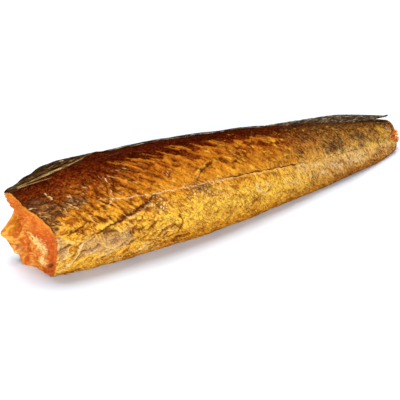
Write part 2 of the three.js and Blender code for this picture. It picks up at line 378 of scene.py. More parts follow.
@dataclass(frozen=True)
class TrunkForm:
    """The shape of the fish, as the solid has it.

    s is the distance from the nape. The angle is 0 on the back, 90 on the shown flank and 180 on the belly.
    u and v lie in the fish's own section: u towards the shown flank and v towards the back.
    """

    length: float = 455
    half_depth: Curve = Curve(((0, 39), (40, 47), (90, 48), (190, 45), (390, 25), (445, 17)))
    thickness_share: Curve = Curve(((0, 0.82), (100, 0.78), (455, 0.58)))
    bow: Curve = Curve(((0, 5), (160, -9), (300, -5), (400, 2), (455, 12)))
    middle: tuple[float, float] = (228.6, -1.6)
    lean: float = 27
    ridge_pinch: float = 0.16
    shoulder: float = 0.1
    belly_give: float = 4.5
    belly_angles: range = range(180, 260, 4)
    table_fillet: float = 1.5
    tail_lift: float = 2
    lifted: tuple[float, float] = (385, 455)
    slump_reach: float = 30
    slump_far: float = 6
    slump_near: float = 1
    head_cut: Cut = Cut(12.5, 8.5, (
        Tear(325, 16, 6), Tear(300, 14, 11.5), Tear(279, 10, -9.5), Tear(258, 13, -6.5), Tear(231, 12, -6),
        Tear(99, 26, 6.3), Tear(50, 16, -2),
    ))
    bowl: Bowl = Bowl()
    rings: MuscleRings = MuscleRings()
    rim_from: float = 0.86
    head_pits: tuple[Spot, ...] = (
        Spot(-22, 15, 13, 13, 10), Spot(-26, -13, 4.5, 4.5, 5), Spot(10, -32, 4, 4, 5),
    )
    tail_cut: Cut = Cut(444, -2, (Tear(92, 13, -9),))
    stub: Stub = Stub()
    reliefs: tuple[Relief, ...] = (
        LateralLine(), Crease(), MuscleRipples(), NeckWrinkles(),
        BroadLumps(0.6, 94, 3, 1.3), BroadLumps(0.3, 53, 5, 0.6),
        FoldedFin(Span(22, 112, 26), 2, 15, 1.8), FoldedFin(Span(95, 405, 28), -1, 10, 1.3),
        FoldedFin(Span(212, 412, 28), 203, 18, 1.7),
    )

    def section(self, s: Array, angle: Array) -> tuple[Array, Array]:
        """The smooth section.

        Args:
            s: Distance from the nape.
            angle: Angle round the fish.

        Returns:
            u and v of each place.
        """
        depth = self.half_depth(s)
        up = np.cos(angle * DEG)
        pinch = 1 - self.ridge_pinch * np.maximum(up, 0) ** 4
        u = depth * self.thickness_share(s) * np.sin(angle * DEG) * (1 + self.shoulder * up) * pinch
        return u, depth * up

    def leaned(self, u: Array, v: Array) -> tuple[Array, Array]:
        """How far to the side and how high a place is, once the back tilts away."""
        cosine, sine = math.cos(self.lean * DEG), math.sin(self.lean * DEG)
        return v * sine - u * cosine, v * cosine + u * sine

    def axis_height(self, s: Array) -> Array:
        """How high the axis runs above the table."""
        lowest = np.minimum.reduce([self.leaned(*self.section(s, angle))[1] for angle in self.belly_angles])
        return -lowest - self.belly_give + self.tail_lift * smooth(*self.lifted, s)

    def place(self, s: Array, u: Array, v: Array) -> Array:
        """From the fish's section to the table, with the bow, the slump and the flat where it rests.

        Args:
            s: Distance from the nape.
            u: Distance from the median plane.
            v: Distance from the axis.

        Returns:
            Points in the frame of the part, in millimetres, one in each row.
        """
        side, height = self.leaned(u, v)
        z = self.axis_height(s) + height
        low = np.clip(1 - z / self.slump_reach, 0, 1) ** 2
        half = self.half_depth(s) * self.thickness_share(s)
        spread = low * np.where(side > 0, self.slump_far, self.slump_near) * side / half
        soft = np.maximum(z + self.table_fillet, 0) ** 2 / (4 * self.table_fillet)
        rest = np.where(z > self.table_fillet, z, soft)
        across = self.bow(s) + side + spread - self.middle[1]
        return np.stack(np.broadcast_arrays(s - self.middle[0], across, rest), -1)

    def arc(self, s: Array, angle: Array) -> Array:
        """Millimetres round the fish from the back to a place."""
        return angle * DEG * self.half_depth(s)

    def relief(self, s: Array, angle: Array) -> Array:
        """Main relief of the skin, in millimetres outwards."""
        at = Places(s, angle, DEG * self.half_depth(s))
        return sum(form.relief(at) for form in self.reliefs)

    def skin(self, s: Array, angle: Array, raise_by: Array = 0.0) -> tuple[Array, Array]:
        """The section with its relief.

        Args:
            s: Distance from the nape.
            angle: Angle round the fish.
            raise_by: Some more millimetres outwards.

        Returns:
            u and v of each place.
        """
        u, v = self.section(s, angle)
        grow = 1 + (self.relief(s, angle) + raise_by) / np.hypot(u, v)
        return u * grow, v * grow

    def skin_point(self, s: Array, angle: Array, raise_by: Array = 0.0) -> Array:
        """A point of the skin in the frame of the part, in millimetres."""
        return self.place(s, *self.skin(s, angle, raise_by))

    def hollow(self, u: Array, v: Array) -> Array:
        """How deep the head cut is hollowed, with its muscle rings and pits.

        Args:
            u: Distance from the median plane.
            v: Distance from the axis.

        Returns:
            Millimetres towards the tail.
        """
        bowl, ring = self.bowl, self.rings
        away = np.hypot((u - bowl.u) / bowl.half_width, (v - bowl.v) / bowl.half_height)
        turn = TURN * np.hypot(u - ring.u, v - ring.v) / ring.pitch
        rings = ring.height * smooth(ring.start, ring.full, away) * np.sin(turn)
        pits = sum(pit.on(u, v) for pit in self.head_pits)
        return bowl.depth * smooth(1, bowl.floor, away) + rings + pits

    def head_face(self, share: Array, angle: Array, inset: float) -> tuple[Array, Array, Array]:
        """The head cut's face.

        Args:
            share: From 0 in the middle to 1 at the edge.
            angle: Direction from the middle.
            inset: How far inside the skin the edge is.

        Returns:
            s, u and v of each place.
        """
        rim = self.head_cut.rim(angle)
        edge_u, edge_v = self.skin(rim, angle, -inset)
        u, v = edge_u * share, edge_v * share
        plane = self.head_cut.plane(v / self.half_depth(rim))
        tear = self.head_cut.torn(angle) * share ** 3
        return plane + tear + self.hollow(u, v) * smooth(1, self.rim_from, share), u, v

    def tail_face(self, share: Array, angle: Array, inset: float) -> tuple[Array, Array, Array]:
        """The tail cut's face.

        Args:
            share: From 0 in the middle to 1 at the edge.
            angle: Direction from the middle.
            inset: How far inside the skin the edge is.

        Returns:
            s, u and v of each place.
        """
        stub = self.stub
        rim = self.tail_cut.rim(angle)
        u, v = self.skin(rim, angle, -inset)
        reach = mix(stub.upper_reach, stub.reach, smooth(stub.step, -stub.step, v))
        groove = stub.groove * bell((share - stub.groove_share) / stub.groove_width)
        stands = reach * smooth(stub.share, stub.full_share, share) - groove
        return mix(self.tail_cut.middle, rim, share) + stands, u * share, v * share


FORM = TrunkForm()


class Mark(Enum):
    """What a wrinkle, crease or stain leaves on the skin, by the name of its attribute. Cream, glow and
    amber strokes on raised wrinkles are partly painted highlight, and brown strokes in creases partly
    painted shade.
    """

    BROWN = "brown"
    CREAM = "cream"
    SOOT = "soot"
    ASH = "ash"
    RUST = "rust"
    NET = "net"
    AMBER = "amber"
    GLOW = "glow"


@dataclass(frozen=True)
class Stroke:
    """A wrinkle, crease or stain along a path of places (s, angle) on the skin.

    Height is in millimetres, and below 0 for a crease.
    """

    path: tuple[tuple[float, float], ...]
    half_width: float
    height: float
    mark: Mark
    strength: float = 1.0

    def samples(self, per_step: int = 5) -> tuple[Array, Array]:
        """Follow the path.

        Args:
            per_step: How many samples go from one place of the path to the next.

        Returns:
            s and angle of each sample.
        """
        steps = np.linspace(0, len(self.path) - 1, per_step * (len(self.path) - 1) + 1)
        s_curve, angle_curve = (Curve(tuple(enumerate(values))) for values in zip(*self.path))
        return s_curve(steps), angle_curve(steps)


# The four places of a small stroke: how far along its length each is, and how much of the bend it has
ARCH = ((-0.5, 0), (-0.17, 1), (0.17, 1), (0.5, 0))


@dataclass(frozen=True)
class Scatter:
    """Many small strokes of one kind, scattered over a part of both flanks.

    A heading of 0 points to the tail and 90 to the belly. Each pair holds a least and a greatest value.
    """

    count: int
    s: tuple[float, float]
    angle: tuple[float, float]
    length: tuple[float, float]
    heading: tuple[float, float]
    bend: float
    half_width: tuple[float, float]
    height: tuple[float, float]
    mark: Mark
    strength: tuple[float, float]

    def strokes(self, rng: np.random.Generator) -> Iterable[Stroke]:
        """Draw the strokes.

        Args:
            rng: Source of chance.

        Returns:
            One stroke after another, every second one on the far flank.
        """
        spans = (self.s, self.angle, self.length, self.heading, self.half_width, self.height, self.strength)
        for i in range(self.count):
            s, angle, length, heading, half_width, height, strength = (rng.uniform(*span) for span in spans)
            bend = rng.uniform(-self.bend, self.bend)
            side = -1 if i % 2 else 1
            per_mm = 1 / (DEG * float(FORM.half_depth(s)))
            along, down = math.cos(heading * DEG), math.sin(heading * DEG)
            path = tuple(
                (s + t * length * along - lift * bend * down,
                 side * (angle + (t * length * down + lift * bend * along) * per_mm))
                for t, lift in ARCH
            )
            yield Stroke(path, half_width, height, self.mark, strength)


@dataclass
class SkinMap:
    """Heights and marks that are drawn on the skin, at each of its places.

    A stroke finds a place at x along the fish and y round it, both in millimetres.
    """

    s: Array
    angle: Array
    wander: float = 1.3
    wander_size: float = 5
    fine_wander: float = 0.7
    fine_size: float = 2.2
    reach: float = 2.4
    bluntness: float = 3.2
    x: Array = field(init=False)
    y: Array = field(init=False)
    raised: Array = field(init=False)
    marks: dict[Mark, Array] = field(init=False)

    def __post_init__(self) -> None:
        """Start level and unmarked, and let the places wander, so that strokes get ragged edges."""
        self.raised = np.zeros_like(self.s)
        self.marks = {mark: np.zeros_like(self.s) for mark in Mark}
        at = FORM.skin_point(self.s, self.angle)
        self.x = self.s + self.wandered(at, 81)
        self.y = FORM.arc(self.s, self.angle) + self.wandered(at, 71)

    def wandered(self, at: Array, seed: float) -> Array:
        """Millimetres by which places wander."""
        fine = self.fine_wander * lumps(at, self.fine_size, seed + 4)
        return self.wander * lumps(at, self.wander_size, seed) + fine

    def draw(self, stroke: Stroke) -> None:
        """Draw one stroke, thinner towards its ends.

        Args:
            stroke: The stroke.
        """
        s, angle = stroke.samples()
        arc = FORM.arc(s, angle)
        reach = self.reach * stroke.half_width
        near = np.nonzero(
            (self.x > s.min() - reach) & (self.x < s.max() + reach)
            & (self.y > arc.min() - reach) & (self.y < arc.max() + reach)
        )
        if not len(near[0]):
            return
        x, y = self.x[near][:, None], self.y[near][:, None]
        dx, dy = np.diff(s), np.diff(arc)
        t = np.clip(((x - s[:-1]) * dx + (y - arc[:-1]) * dy) / (dx ** 2 + dy ** 2 + TINY), 0, 1)
        away = np.hypot(x - s[:-1] - t * dx, y - arc[:-1] - t * dy)
        best = away.argmin(1)
        row = np.arange(len(best))
        along = (best + t[row, best]) / len(dx)
        ends = np.minimum(1, self.bluntness * np.sqrt(along * (1 - along)))
        shape = bell(away[row, best] / stroke.half_width) * ends
        self.raised[near] += stroke.height * shape
        mark = self.marks[stroke.mark]
        mark[near] = np.maximum(mark[near], stroke.strength * shape)


# Wrinkles, creases and stains that the shown flank has at one place only, with some painted highlights and a
# painted shadow line
LANDMARKS = (
    Stroke(
        ((121, 86), (114, 89), (109, 94), (101, 95.5), (95, 101),
         (86, 102), (79, 106), (70, 107), (62, 111), (48, 112)),
        1.4, -0.8, Mark.BROWN, 0.9,
    ),
    Stroke(((119, 87), (109, 93), (98, 99), (86, 101), (76, 107)), 3.4, -0.3, Mark.RUST, 1.0),
    Stroke(((100, 97), (92, 100), (84, 102)), 2.6, -0.3, Mark.SOOT, 0.8),
    Stroke(((116, 91), (104, 99), (92, 105.5), (78, 108.5)), 0.9, 0.5, Mark.CREAM, 0.5),
    Stroke(((52, 96), (38, 103), (28, 105)), 0.9, -0.5, Mark.BROWN, 0.9),
    Stroke(((138, 114), (142, 127), (138, 140)), 0.8, -0.4, Mark.BROWN, 0.8),
    Stroke(((162, 84), (170, 74), (190, 64)), 1.1, -0.5, Mark.BROWN, 0.7),
    Stroke(((158, 83), (166, 73), (184, 63)), 1.2, 0.4, Mark.GLOW, 0.6),
    Stroke(((24, 50), (26, 56), (28, 62)), 0.5, 0.6, Mark.CREAM, 0.7),
    Stroke(((22, 52), (24, 58), (26, 64)), 0.7, -0.4, Mark.BROWN, 0.6),
    Stroke(((36, 70), (40, 76), (45, 83)), 0.45, 0.5, Mark.CREAM, 0.8),
    Stroke(((76, 52), (78, 66), (77, 79), (72, 87)), 0.6, 0.6, Mark.CREAM, 0.9),
    # A painted shadow line in brown beside the pale arc
    Stroke(((73, 54), (75, 67), (74, 79), (70, 86)), 0.8, -0.5, Mark.BROWN, 0.7),
    Stroke(((7, 46), (17, 62), (27, 74), (40, 74), (56, 78)), 6, -0.2, Mark.SOOT, 1.0),
    Stroke(((8, 52), (14, 68), (19, 82), (22, 100)), 6, 0.1, Mark.SOOT, 1.0),
    Stroke(((18, 104), (24, 116), (28, 130)), 5, 0, Mark.ASH, 0.9),
    Stroke(((40, 122), (56, 127), (72, 128), (92, 124)), 9, 0, Mark.ASH, 1.0),
    Stroke(((159, 91), (168, 93), (178, 94)), 3.2, -0.1, Mark.SOOT, 0.6),
    Stroke(((250, 99), (262, 101)), 5, 0, Mark.SOOT, 0.5),
    Stroke(((326, 82), (340, 76), (356, 78)), 7, 0, Mark.SOOT, 0.95),
    Stroke(((300, 60), (318, 54)), 5, 0, Mark.SOOT, 0.6),
    Stroke(((368, 64), (392, 68)), 6, 0, Mark.SOOT, 0.9),
    Stroke(((330, 14), (380, 17), (420, 21), (442, 26)), 2.4, 0, Mark.SOOT, 1.0),
    Stroke(((414, 44), (422, 62), (426, 92)), 8, 0, Mark.GLOW, 0.5),
    Stroke(((430, 50), (434, 70), (436, 100)), 7, 0, Mark.ASH, 0.55),
    Stroke(((70, 124), (74, 124)), 2.2, -0.2, Mark.RUST),
    Stroke(((55, 90), (60, 95)), 1.6, 0.6, Mark.RUST, 0.8),
    Stroke(((62, 97), (68, 102)), 1.5, 0.6, Mark.RUST, 0.8),
    Stroke(((297, 119), (303, 121)), 2.0, 0.8, Mark.RUST, 0.7),
    # A painted highlight on the orange blob
    Stroke(((299, 116), (304, 117)), 0.8, 0.2, Mark.GLOW, 1.0),
    # Bright cream and gold folds of the belly flap, partly painted highlight
    Stroke(((18, 156), (28, 150), (37, 130), (46, 118)), 0.8, 0.8, Mark.CREAM, 0.8),
    Stroke(((16, 150), (24, 140), (32, 120), (44, 107)), 0.7, 0.6, Mark.CREAM, 0.7),
    Stroke(((20, 160), (34, 150), (46, 140), (60, 136)), 1.0, 0.7, Mark.GLOW, 0.9),
    Stroke(((62, 136), (70, 134), (80, 132)), 1.1, 0.8, Mark.CREAM, 0.8),
    Stroke(((60, 141), (72, 139), (86, 136)), 0.8, 0.5, Mark.CREAM, 0.6),
    Stroke(((56, 104), (64, 107), (74, 105)), 3.0, 0.3, Mark.GLOW, 0.9),
    # Painted highlights, bright yellow and cream, on the middle flank
    Stroke(((232, 99), (238, 104), (236, 110)), 1.6, 0.4, Mark.GLOW, 1.0),
    Stroke(((228, 104), (232, 110), (230, 117)), 1.3, 0.4, Mark.CREAM, 0.8),
    Stroke(((22, 118), (34, 128), (44, 138)), 5, 0, Mark.SOOT, 0.45),
    Stroke(((60, 78), (82, 82), (104, 85), (136, 86.5), (164, 88), (200, 89)), 0.6, 0.4, Mark.CREAM, 0.8),
    Stroke(((160, 88), (224, 89.5), (277, 93), (304, 96)), 0.6, -0.35, Mark.BROWN, 0.95),
    Stroke(((166, 90), (224, 91.5), (277, 95), (304, 98)), 0.7, 0.2, Mark.CREAM, 0.6),
    Stroke(((304, 96), (330, 95), (360, 94), (380, 94)), 0.5, -0.25, Mark.BROWN, 0.6),
    Stroke(((81, 26.5), (91.5, 23.5), (102.5, 19.5), (113.5, 15)), 1.4, 0.2, Mark.SOOT, 0.8),
    Stroke(((112, 92), (120, 98), (126, 106)), 6.5, 0, Mark.NET, 1.0),
    Stroke(((150, 96), (175, 100), (200, 104)), 7, 0, Mark.NET, 0.6),
    Stroke(((60, 122), (96, 120)), 7, 0, Mark.NET, 0.25),
)

# Wrinkles and flecks spread by chance
FIELDS = (
    # Crumples of the neck and front flank, cream on the raised ones partly painted highlight and brown in
    # the sunk ones partly painted shade
    Scatter(90, (10, 115), (46, 118), (4, 11), (20, 110), 1.6,
            (0.4, 0.65), (0.3, 0.6), Mark.CREAM, (0.25, 0.75)),
    Scatter(110, (10, 125), (38, 124), (4, 12), (20, 115), 1.5,
            (0.4, 0.7), (-0.5, -0.2), Mark.BROWN, (0.3, 0.85)),
    Scatter(30, (8, 24), (48, 84), (4, 8), (55, 95), 0.8,
            (0.4, 0.6), (0.3, 0.6), Mark.CREAM, (0.2, 0.5)),
    # Muscle ripples showing through the upper flank, one arm of each angle bent back, amber and gold on
    # their ridges partly painted highlight and brown between them partly painted shade
    Scatter(90, (95, 215), (34, 56), (8, 18), (28, 42), 1.4,
            (0.9, 1.6), (0.5, 0.9), Mark.AMBER, (0.3, 0.8)),
    Scatter(110, (85, 215), (52, 84), (8, 18), (28, 42), 1.4,
            (0.9, 1.6), (0.5, 0.9), Mark.AMBER, (0.3, 0.8)),
    Scatter(60, (85, 215), (60, 86), (6, 12), (28, 42), 1.2,
            (0.7, 1.1), (0.3, 0.6), Mark.GLOW, (0.2, 0.6)),
    Scatter(200, (90, 215), (26, 74), (8, 16), (28, 42), 1.2,
            (0.7, 1.1), (-0.9, -0.5), Mark.BROWN, (0.2, 0.6)),
    Scatter(60, (98, 206), (66, 86), (5, 11), (120, 145), 1.0,
            (0.6, 0.9), (-0.4, -0.2), Mark.BROWN, (0.25, 0.55)),
    Scatter(50, (98, 206), (66, 86), (5, 11), (120, 145), 1.0,
            (0.6, 0.9), (0.15, 0.4), Mark.CREAM, (0.2, 0.5)),
    # Amber and gold mottles of the middle
    Scatter(110, (180, 272), (38, 86), (5, 12), (20, 60), 1.4,
            (1.8, 3.4), (0, 0), Mark.AMBER, (0.3, 0.85)),
    Scatter(80, (185, 285), (46, 86), (4, 10), (20, 60), 1.4,
            (1.4, 2.6), (0, 0), Mark.GLOW, (0.3, 0.65)),
    # Folds of the belly flap, cream and gold on the raised ones partly painted highlight and brown in the
    # sunk ones partly painted shade
    Scatter(60, (16, 135), (122, 164), (8, 22), (-35, 5), 2.2,
            (0.5, 0.9), (0.3, 0.7), Mark.CREAM, (0.3, 0.8)),
    Scatter(40, (16, 135), (112, 160), (6, 18), (-35, 5), 2.2,
            (0.5, 0.9), (0.2, 0.5), Mark.GLOW, (0.4, 0.9)),
    Scatter(70, (16, 150), (112, 164), (6, 18), (-35, 15), 2.2,
            (0.6, 1.1), (-0.6, -0.3), Mark.BROWN, (0.3, 0.8)),
    # Gold flank below the line
    Scatter(170, (105, 260), (92, 150), (4, 11), (-60, 100), 1.6,
            (0.5, 0.8), (-0.35, -0.15), Mark.BROWN, (0.25, 0.65)),
    Scatter(150, (105, 300), (92, 150), (3, 9), (30, 100), 1.2,
            (0.5, 0.8), (0.15, 0.35), Mark.GLOW, (0.3, 0.9)),
    # Small embedded scales of the rear flank
    Scatter(900, (205, 440), (14, 98), (2.5, 5.5), (15, 75), 0.5,
            (0.45, 0.7), (-0.25, -0.1), Mark.BROWN, (0.2, 0.6)),
    Scatter(800, (205, 440), (22, 100), (2.5, 5.5), (15, 75), 0.5,
            (0.45, 0.7), (0.1, 0.25), Mark.GLOW, (0.2, 0.7)),
    # Fine creases across the rear belly side
    Scatter(260, (250, 440), (100, 150), (6, 18), (70, 105), 0.8,
            (0.45, 0.7), (0.08, 0.2), Mark.CREAM, (0.15, 0.5)),
    Scatter(220, (240, 440), (98, 150), (5, 16), (70, 105), 0.8,
            (0.45, 0.7), (-0.2, -0.08), Mark.RUST, (0.1, 0.4)),
    # Smoke stains of the rear flank
    Scatter(46, (240, 435), (30, 94), (5, 16), (0, 40), 2,
            (2.5, 5), (0, 0), Mark.SOOT, (0.25, 0.7)),
    Scatter(26, (12, 110), (60, 150), (4, 12), (0, 90), 2,
            (2, 3.5), (0, 0), Mark.SOOT, (0.2, 0.55)),
    Scatter(30, (20, 200), (40, 120), (4, 12), (0, 90), 2,
            (2, 4), (0, 0), Mark.RUST, (0.2, 0.5)),
    # Pale patches of the rear flank below the line, partly a painted highlight band, and gold ones of the
    # middle above it
    Scatter(40, (235, 380), (98, 122), (8, 20), (-10, 40), 2,
            (2.4, 4.5), (0, 0), Mark.CREAM, (0.3, 0.55)),
    Scatter(24, (370, 440), (84, 130), (8, 18), (-10, 40), 2,
            (2.4, 4.5), (0, 0), Mark.GLOW, (0.3, 0.6)),
    Scatter(60, (140, 250), (46, 84), (8, 18), (20, 60), 1.4,
            (2.0, 3.6), (0, 0), Mark.AMBER, (0.4, 0.75)),
    Scatter(50, (260, 440), (122, 146), (8, 20), (-10, 20), 2,
            (2.0, 4.0), (0, 0), Mark.RUST, (0.25, 0.5)),
    # Rust veins of the flap
    Scatter(26, (18, 100), (106, 140), (6, 16), (-70, -20), 3,
            (0.6, 1.0), (-0.6, -0.3), Mark.RUST, (0.6, 1.0)),
    # Underside
    Scatter(120, (20, 430), (150, 180), (8, 20), (-20, 20), 2,
            (0.6, 1.0), (-0.3, 0.3), Mark.BROWN, (0.1, 0.4)),
)


def lattice(rows: int, columns: int, close_rows: bool = False) -> Array:
    """Faces between the rings of a tube.

    Args:
        rows: Number of rings.
        columns: Number of points in each ring.
        close_rows: Whether the last ring joins the first.

    Returns:
        Four point numbers for each face.
    """
    ring = np.arange(rows if close_rows else rows - 1)[:, None]
    column = np.arange(columns)[None]
    after, beside = (ring + 1) % rows * columns, (column + 1) % columns
    corners = (ring * columns + column, after + column, after + beside, ring * columns + beside)
    return np.stack(np.broadcast_arrays(*corners), -1).reshape(-1, 4)


@dataclass
class Surface:
    """Points in millimetres with their faces and values, to which closed forms are added one by one."""

    points: list[Array] = field(default_factory=list)
    faces: list[list[int]] = field(default_factory=list)
    values: dict[str, list[Array]] = field(default_factory=dict)
    count: int = 0

    def add_tube(self, rings: Array, values: dict[str, Array], ends: bool = True) -> None:
        """Add a closed tube.

        Args:
            rings: Points by ring, column and axis.
            values: Values by ring and column, or by ring, column and axis.
            ends: Whether each end closes on its middle. Without that the last ring joins the first.
        """
        rows, columns = rings.shape[:2]
        self.faces += (lattice(rows, columns, not ends) + self.count).tolist()
        total = rows * columns
        self.points.append(rings.reshape(-1, 3))
        for name, value in values.items():
            self.values.setdefault(name, []).append(value.reshape(total, *value.shape[2:]))
        if ends:
            self.points.append(rings[[0, -1]].mean(1))
            for name, value in values.items():
                self.values[name].append(value[[0, -1]].mean(1))
            first, last = self.count, self.count + (rows - 1) * columns
            for i in range(columns):
                j = (i + 1) % columns
                self.faces.append([self.count + total, first + i, first + j])
                self.faces.append([self.count + total + 1, last + j, last + i])
            total += 2
        self.count += total

    def piece(self, name: str, material: bpy.types.Material) -> None:
        """Make the piece, let it stand for the trunk's node and report it.

        Args:
            name: The piece's name.
            material: Its finish.
        """
        points = np.concatenate(self.points) * MM
        mesh = bpy.data.meshes.new(name)
        mesh.from_pydata(points.tolist(), [], self.faces)
        halves = [face[:3] for face in self.faces]
        halves += [[face[0], *face[2:]] for face in self.faces if len(face) > 3]
        first, second, third = (points[[half[k] for half in halves]] for k in range(3))
        # A volume below 0 means that the faces look inwards
        if np.einsum("ij,ij->", first, np.cross(second, third)) < 0:
            mesh.flip_normals()
        mesh.shade_smooth()
        for key, parts in self.values.items():
            value = np.concatenate(parts)
            kind, part = ("FLOAT_VECTOR", "vector") if value.ndim > 1 else ("FLOAT", "value")
            layer = mesh.attributes.new(key, kind, "POINT")
            layer.data.foreach_set(part, value.ravel().astype(np.float32))
        mesh.materials.append(material)
        made = bpy.data.objects.new(name, mesh)
        bpy.context.collection.objects.link(made)
        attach(made, "root")
        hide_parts(NODE)
        log.info("%s: %d points, %d triangles", name, len(points), len(halves))


class Tone(Enum):
    """The tones that smoke and drying give the skin, from the back to the belly and then at the rear. HONEY
    and CARAMEL, darker at the belly's end, are partly painted shade where the belly turns under, and BISCUIT
    is partly a painted highlight band below the rear lateral line.
    """

    TAR = "4c260e"
    MAHOGANY = "601c04"
    COPPER = "944008"
    AMBER = "c67614"
    GOLD = "eea62c"
    STRAW = "ffcc48"
    HONEY = "d88c20"
    UMBER = "885824"
    TAN = "c48c38"
    BISCUIT = "f2c06c"
    BRASS = "d89c48"
    CARAMEL = "be741c"


Run = tuple[tuple[float, Tone], ...]
Socket = bpy.types.NodeSocket
Input = Socket | str | float | tuple[float, ...]


def linear(colour: str) -> tuple[float, float, float, float]:
    """Turn an sRGB hex colour linear.

    Args:
        colour: Six hex digits.

    Returns:
        Red, green, blue and alpha.
    """
    parts = [int(colour[i:i + 2], 16) / 255 for i in (0, 2, 4)]
    red, green, blue = (c / 12.92 if c <= 0.04045 else ((c + 0.055) / 1.055) ** 2.4 for c in parts)
    return red, green, blue, 1.0


def add_node(
    tree: bpy.types.NodeTree,
    kind: str,
    inputs: dict[str | int, Input] | None = None,
    stops: Run = (),
    output: str = "",
    **settings: object,
) -> Socket | None:
    """Add a node with its settings and links.

    Args:
        tree: The node tree.
        kind: Type of the node without its ShaderNode prefix.
        inputs: A socket to link, a number or a hex colour for each input, by its name or number.
        stops: Places and tones of a colour ramp.
        output: Name of the output to return, or the first one in use.
        settings: Properties of the node.

    Returns:
        The node's output, if it has one.
    """
    node = tree.nodes.new("ShaderNode" + kind)
    for name, value in settings.items():
        setattr(node, name, value)
    for name, value in (inputs or {}).items():
        if isinstance(value, Socket):
            tree.links.new(value, node.inputs[name])
        else:
            node.inputs[name].default_value = linear(value) if isinstance(value, str) else value
    for i, (place, tone) in enumerate(stops):
        # A new ramp has two stops
        element = node.color_ramp.elements[i] if i < 2 else node.color_ramp.elements.new(place)
        element.position = place
        element.color = linear(tone.value)
    return node.outputs[output] if output else next((out for out in node.outputs if out.enabled), None)


@dataclass(frozen=True)
class Wash:
    """A thin wash of colour, laid on where a value of the surface goes from low to high."""

    low: float
    high: float
    share: float
    colour: Input
    kind: str = "MIX"


@dataclass
class Finish:
    """A material whose colour is built up in washes."""

    name: str
    made: bpy.types.Material = field(init=False)
    place: Socket = field(init=False)
    colour: Input = field(init=False)

    def __post_init__(self) -> None:
        """Start an empty tree that knows each point's place on the fish, in millimetres."""
        self.made = bpy.data.materials.new(self.name)
        self.made.use_nodes = True
        self.made.node_tree.nodes.clear()
        self.place = self.add("Attribute", output="Vector", attribute_name="place")

    def add(self, kind: str, *args: object, **settings: object) -> Socket | None:
        """Add a node to this material's tree."""
        return add_node(self.made.node_tree, kind, *args, **settings)

    def wash(self, value: Socket | str, wash: Wash, within: Socket | None = None) -> None:
        """Lay one wash over the colour so far.

        Args:
            value: What decides where it lies: an output, or the name of a value that the mesh carries.
            wash: The wash.
            within: An output from 0 to 1 that holds it back.
        """
        if isinstance(value, str):
            value = self.add("Attribute", output="Fac", attribute_name=value)
        reach = {"Value": value, "From Min": wash.low, "From Max": wash.high, "To Max": wash.share}
        amount = self.add("MapRange", reach, interpolation_type="SMOOTHSTEP")
        if within:
            amount = self.add("Math", {0: amount, 1: within}, operation="MULTIPLY")
        layers = {"Factor": amount, MIX_START: self.colour, MIX_END: wash.colour}
        self.colour = self.add("Mix", layers, data_type="RGBA", blend_type=wash.kind)

    def close(self, grain: Socket, strength: float, distance: float, **inputs: Input) -> None:
        """Close the tree with its shader.

        Args:
            grain: Height of the finest relief, from 0 to 1.
            strength: How strongly that relief turns the light.
            distance: Its real height in metres.
            inputs: Settings and links of the shader's sockets, with underscores for spaces.
        """
        bump = self.add("Bump", {"Strength": strength, "Distance": distance, "Height": grain})
        sockets = {name.replace("_", " "): value for name, value in inputs.items()}
        shader = self.add("BsdfPrincipled", {"Base Color": self.colour, "Normal": bump, **sockets})
        self.add("OutputMaterial", {"Surface": shader})

    def dress(self) -> None:
        """Lay the colours and close the tree, which each kind of finish does in its own way."""

    def material(self) -> bpy.types.Material:
        """Make the material."""
        self.dress()
        return self.made


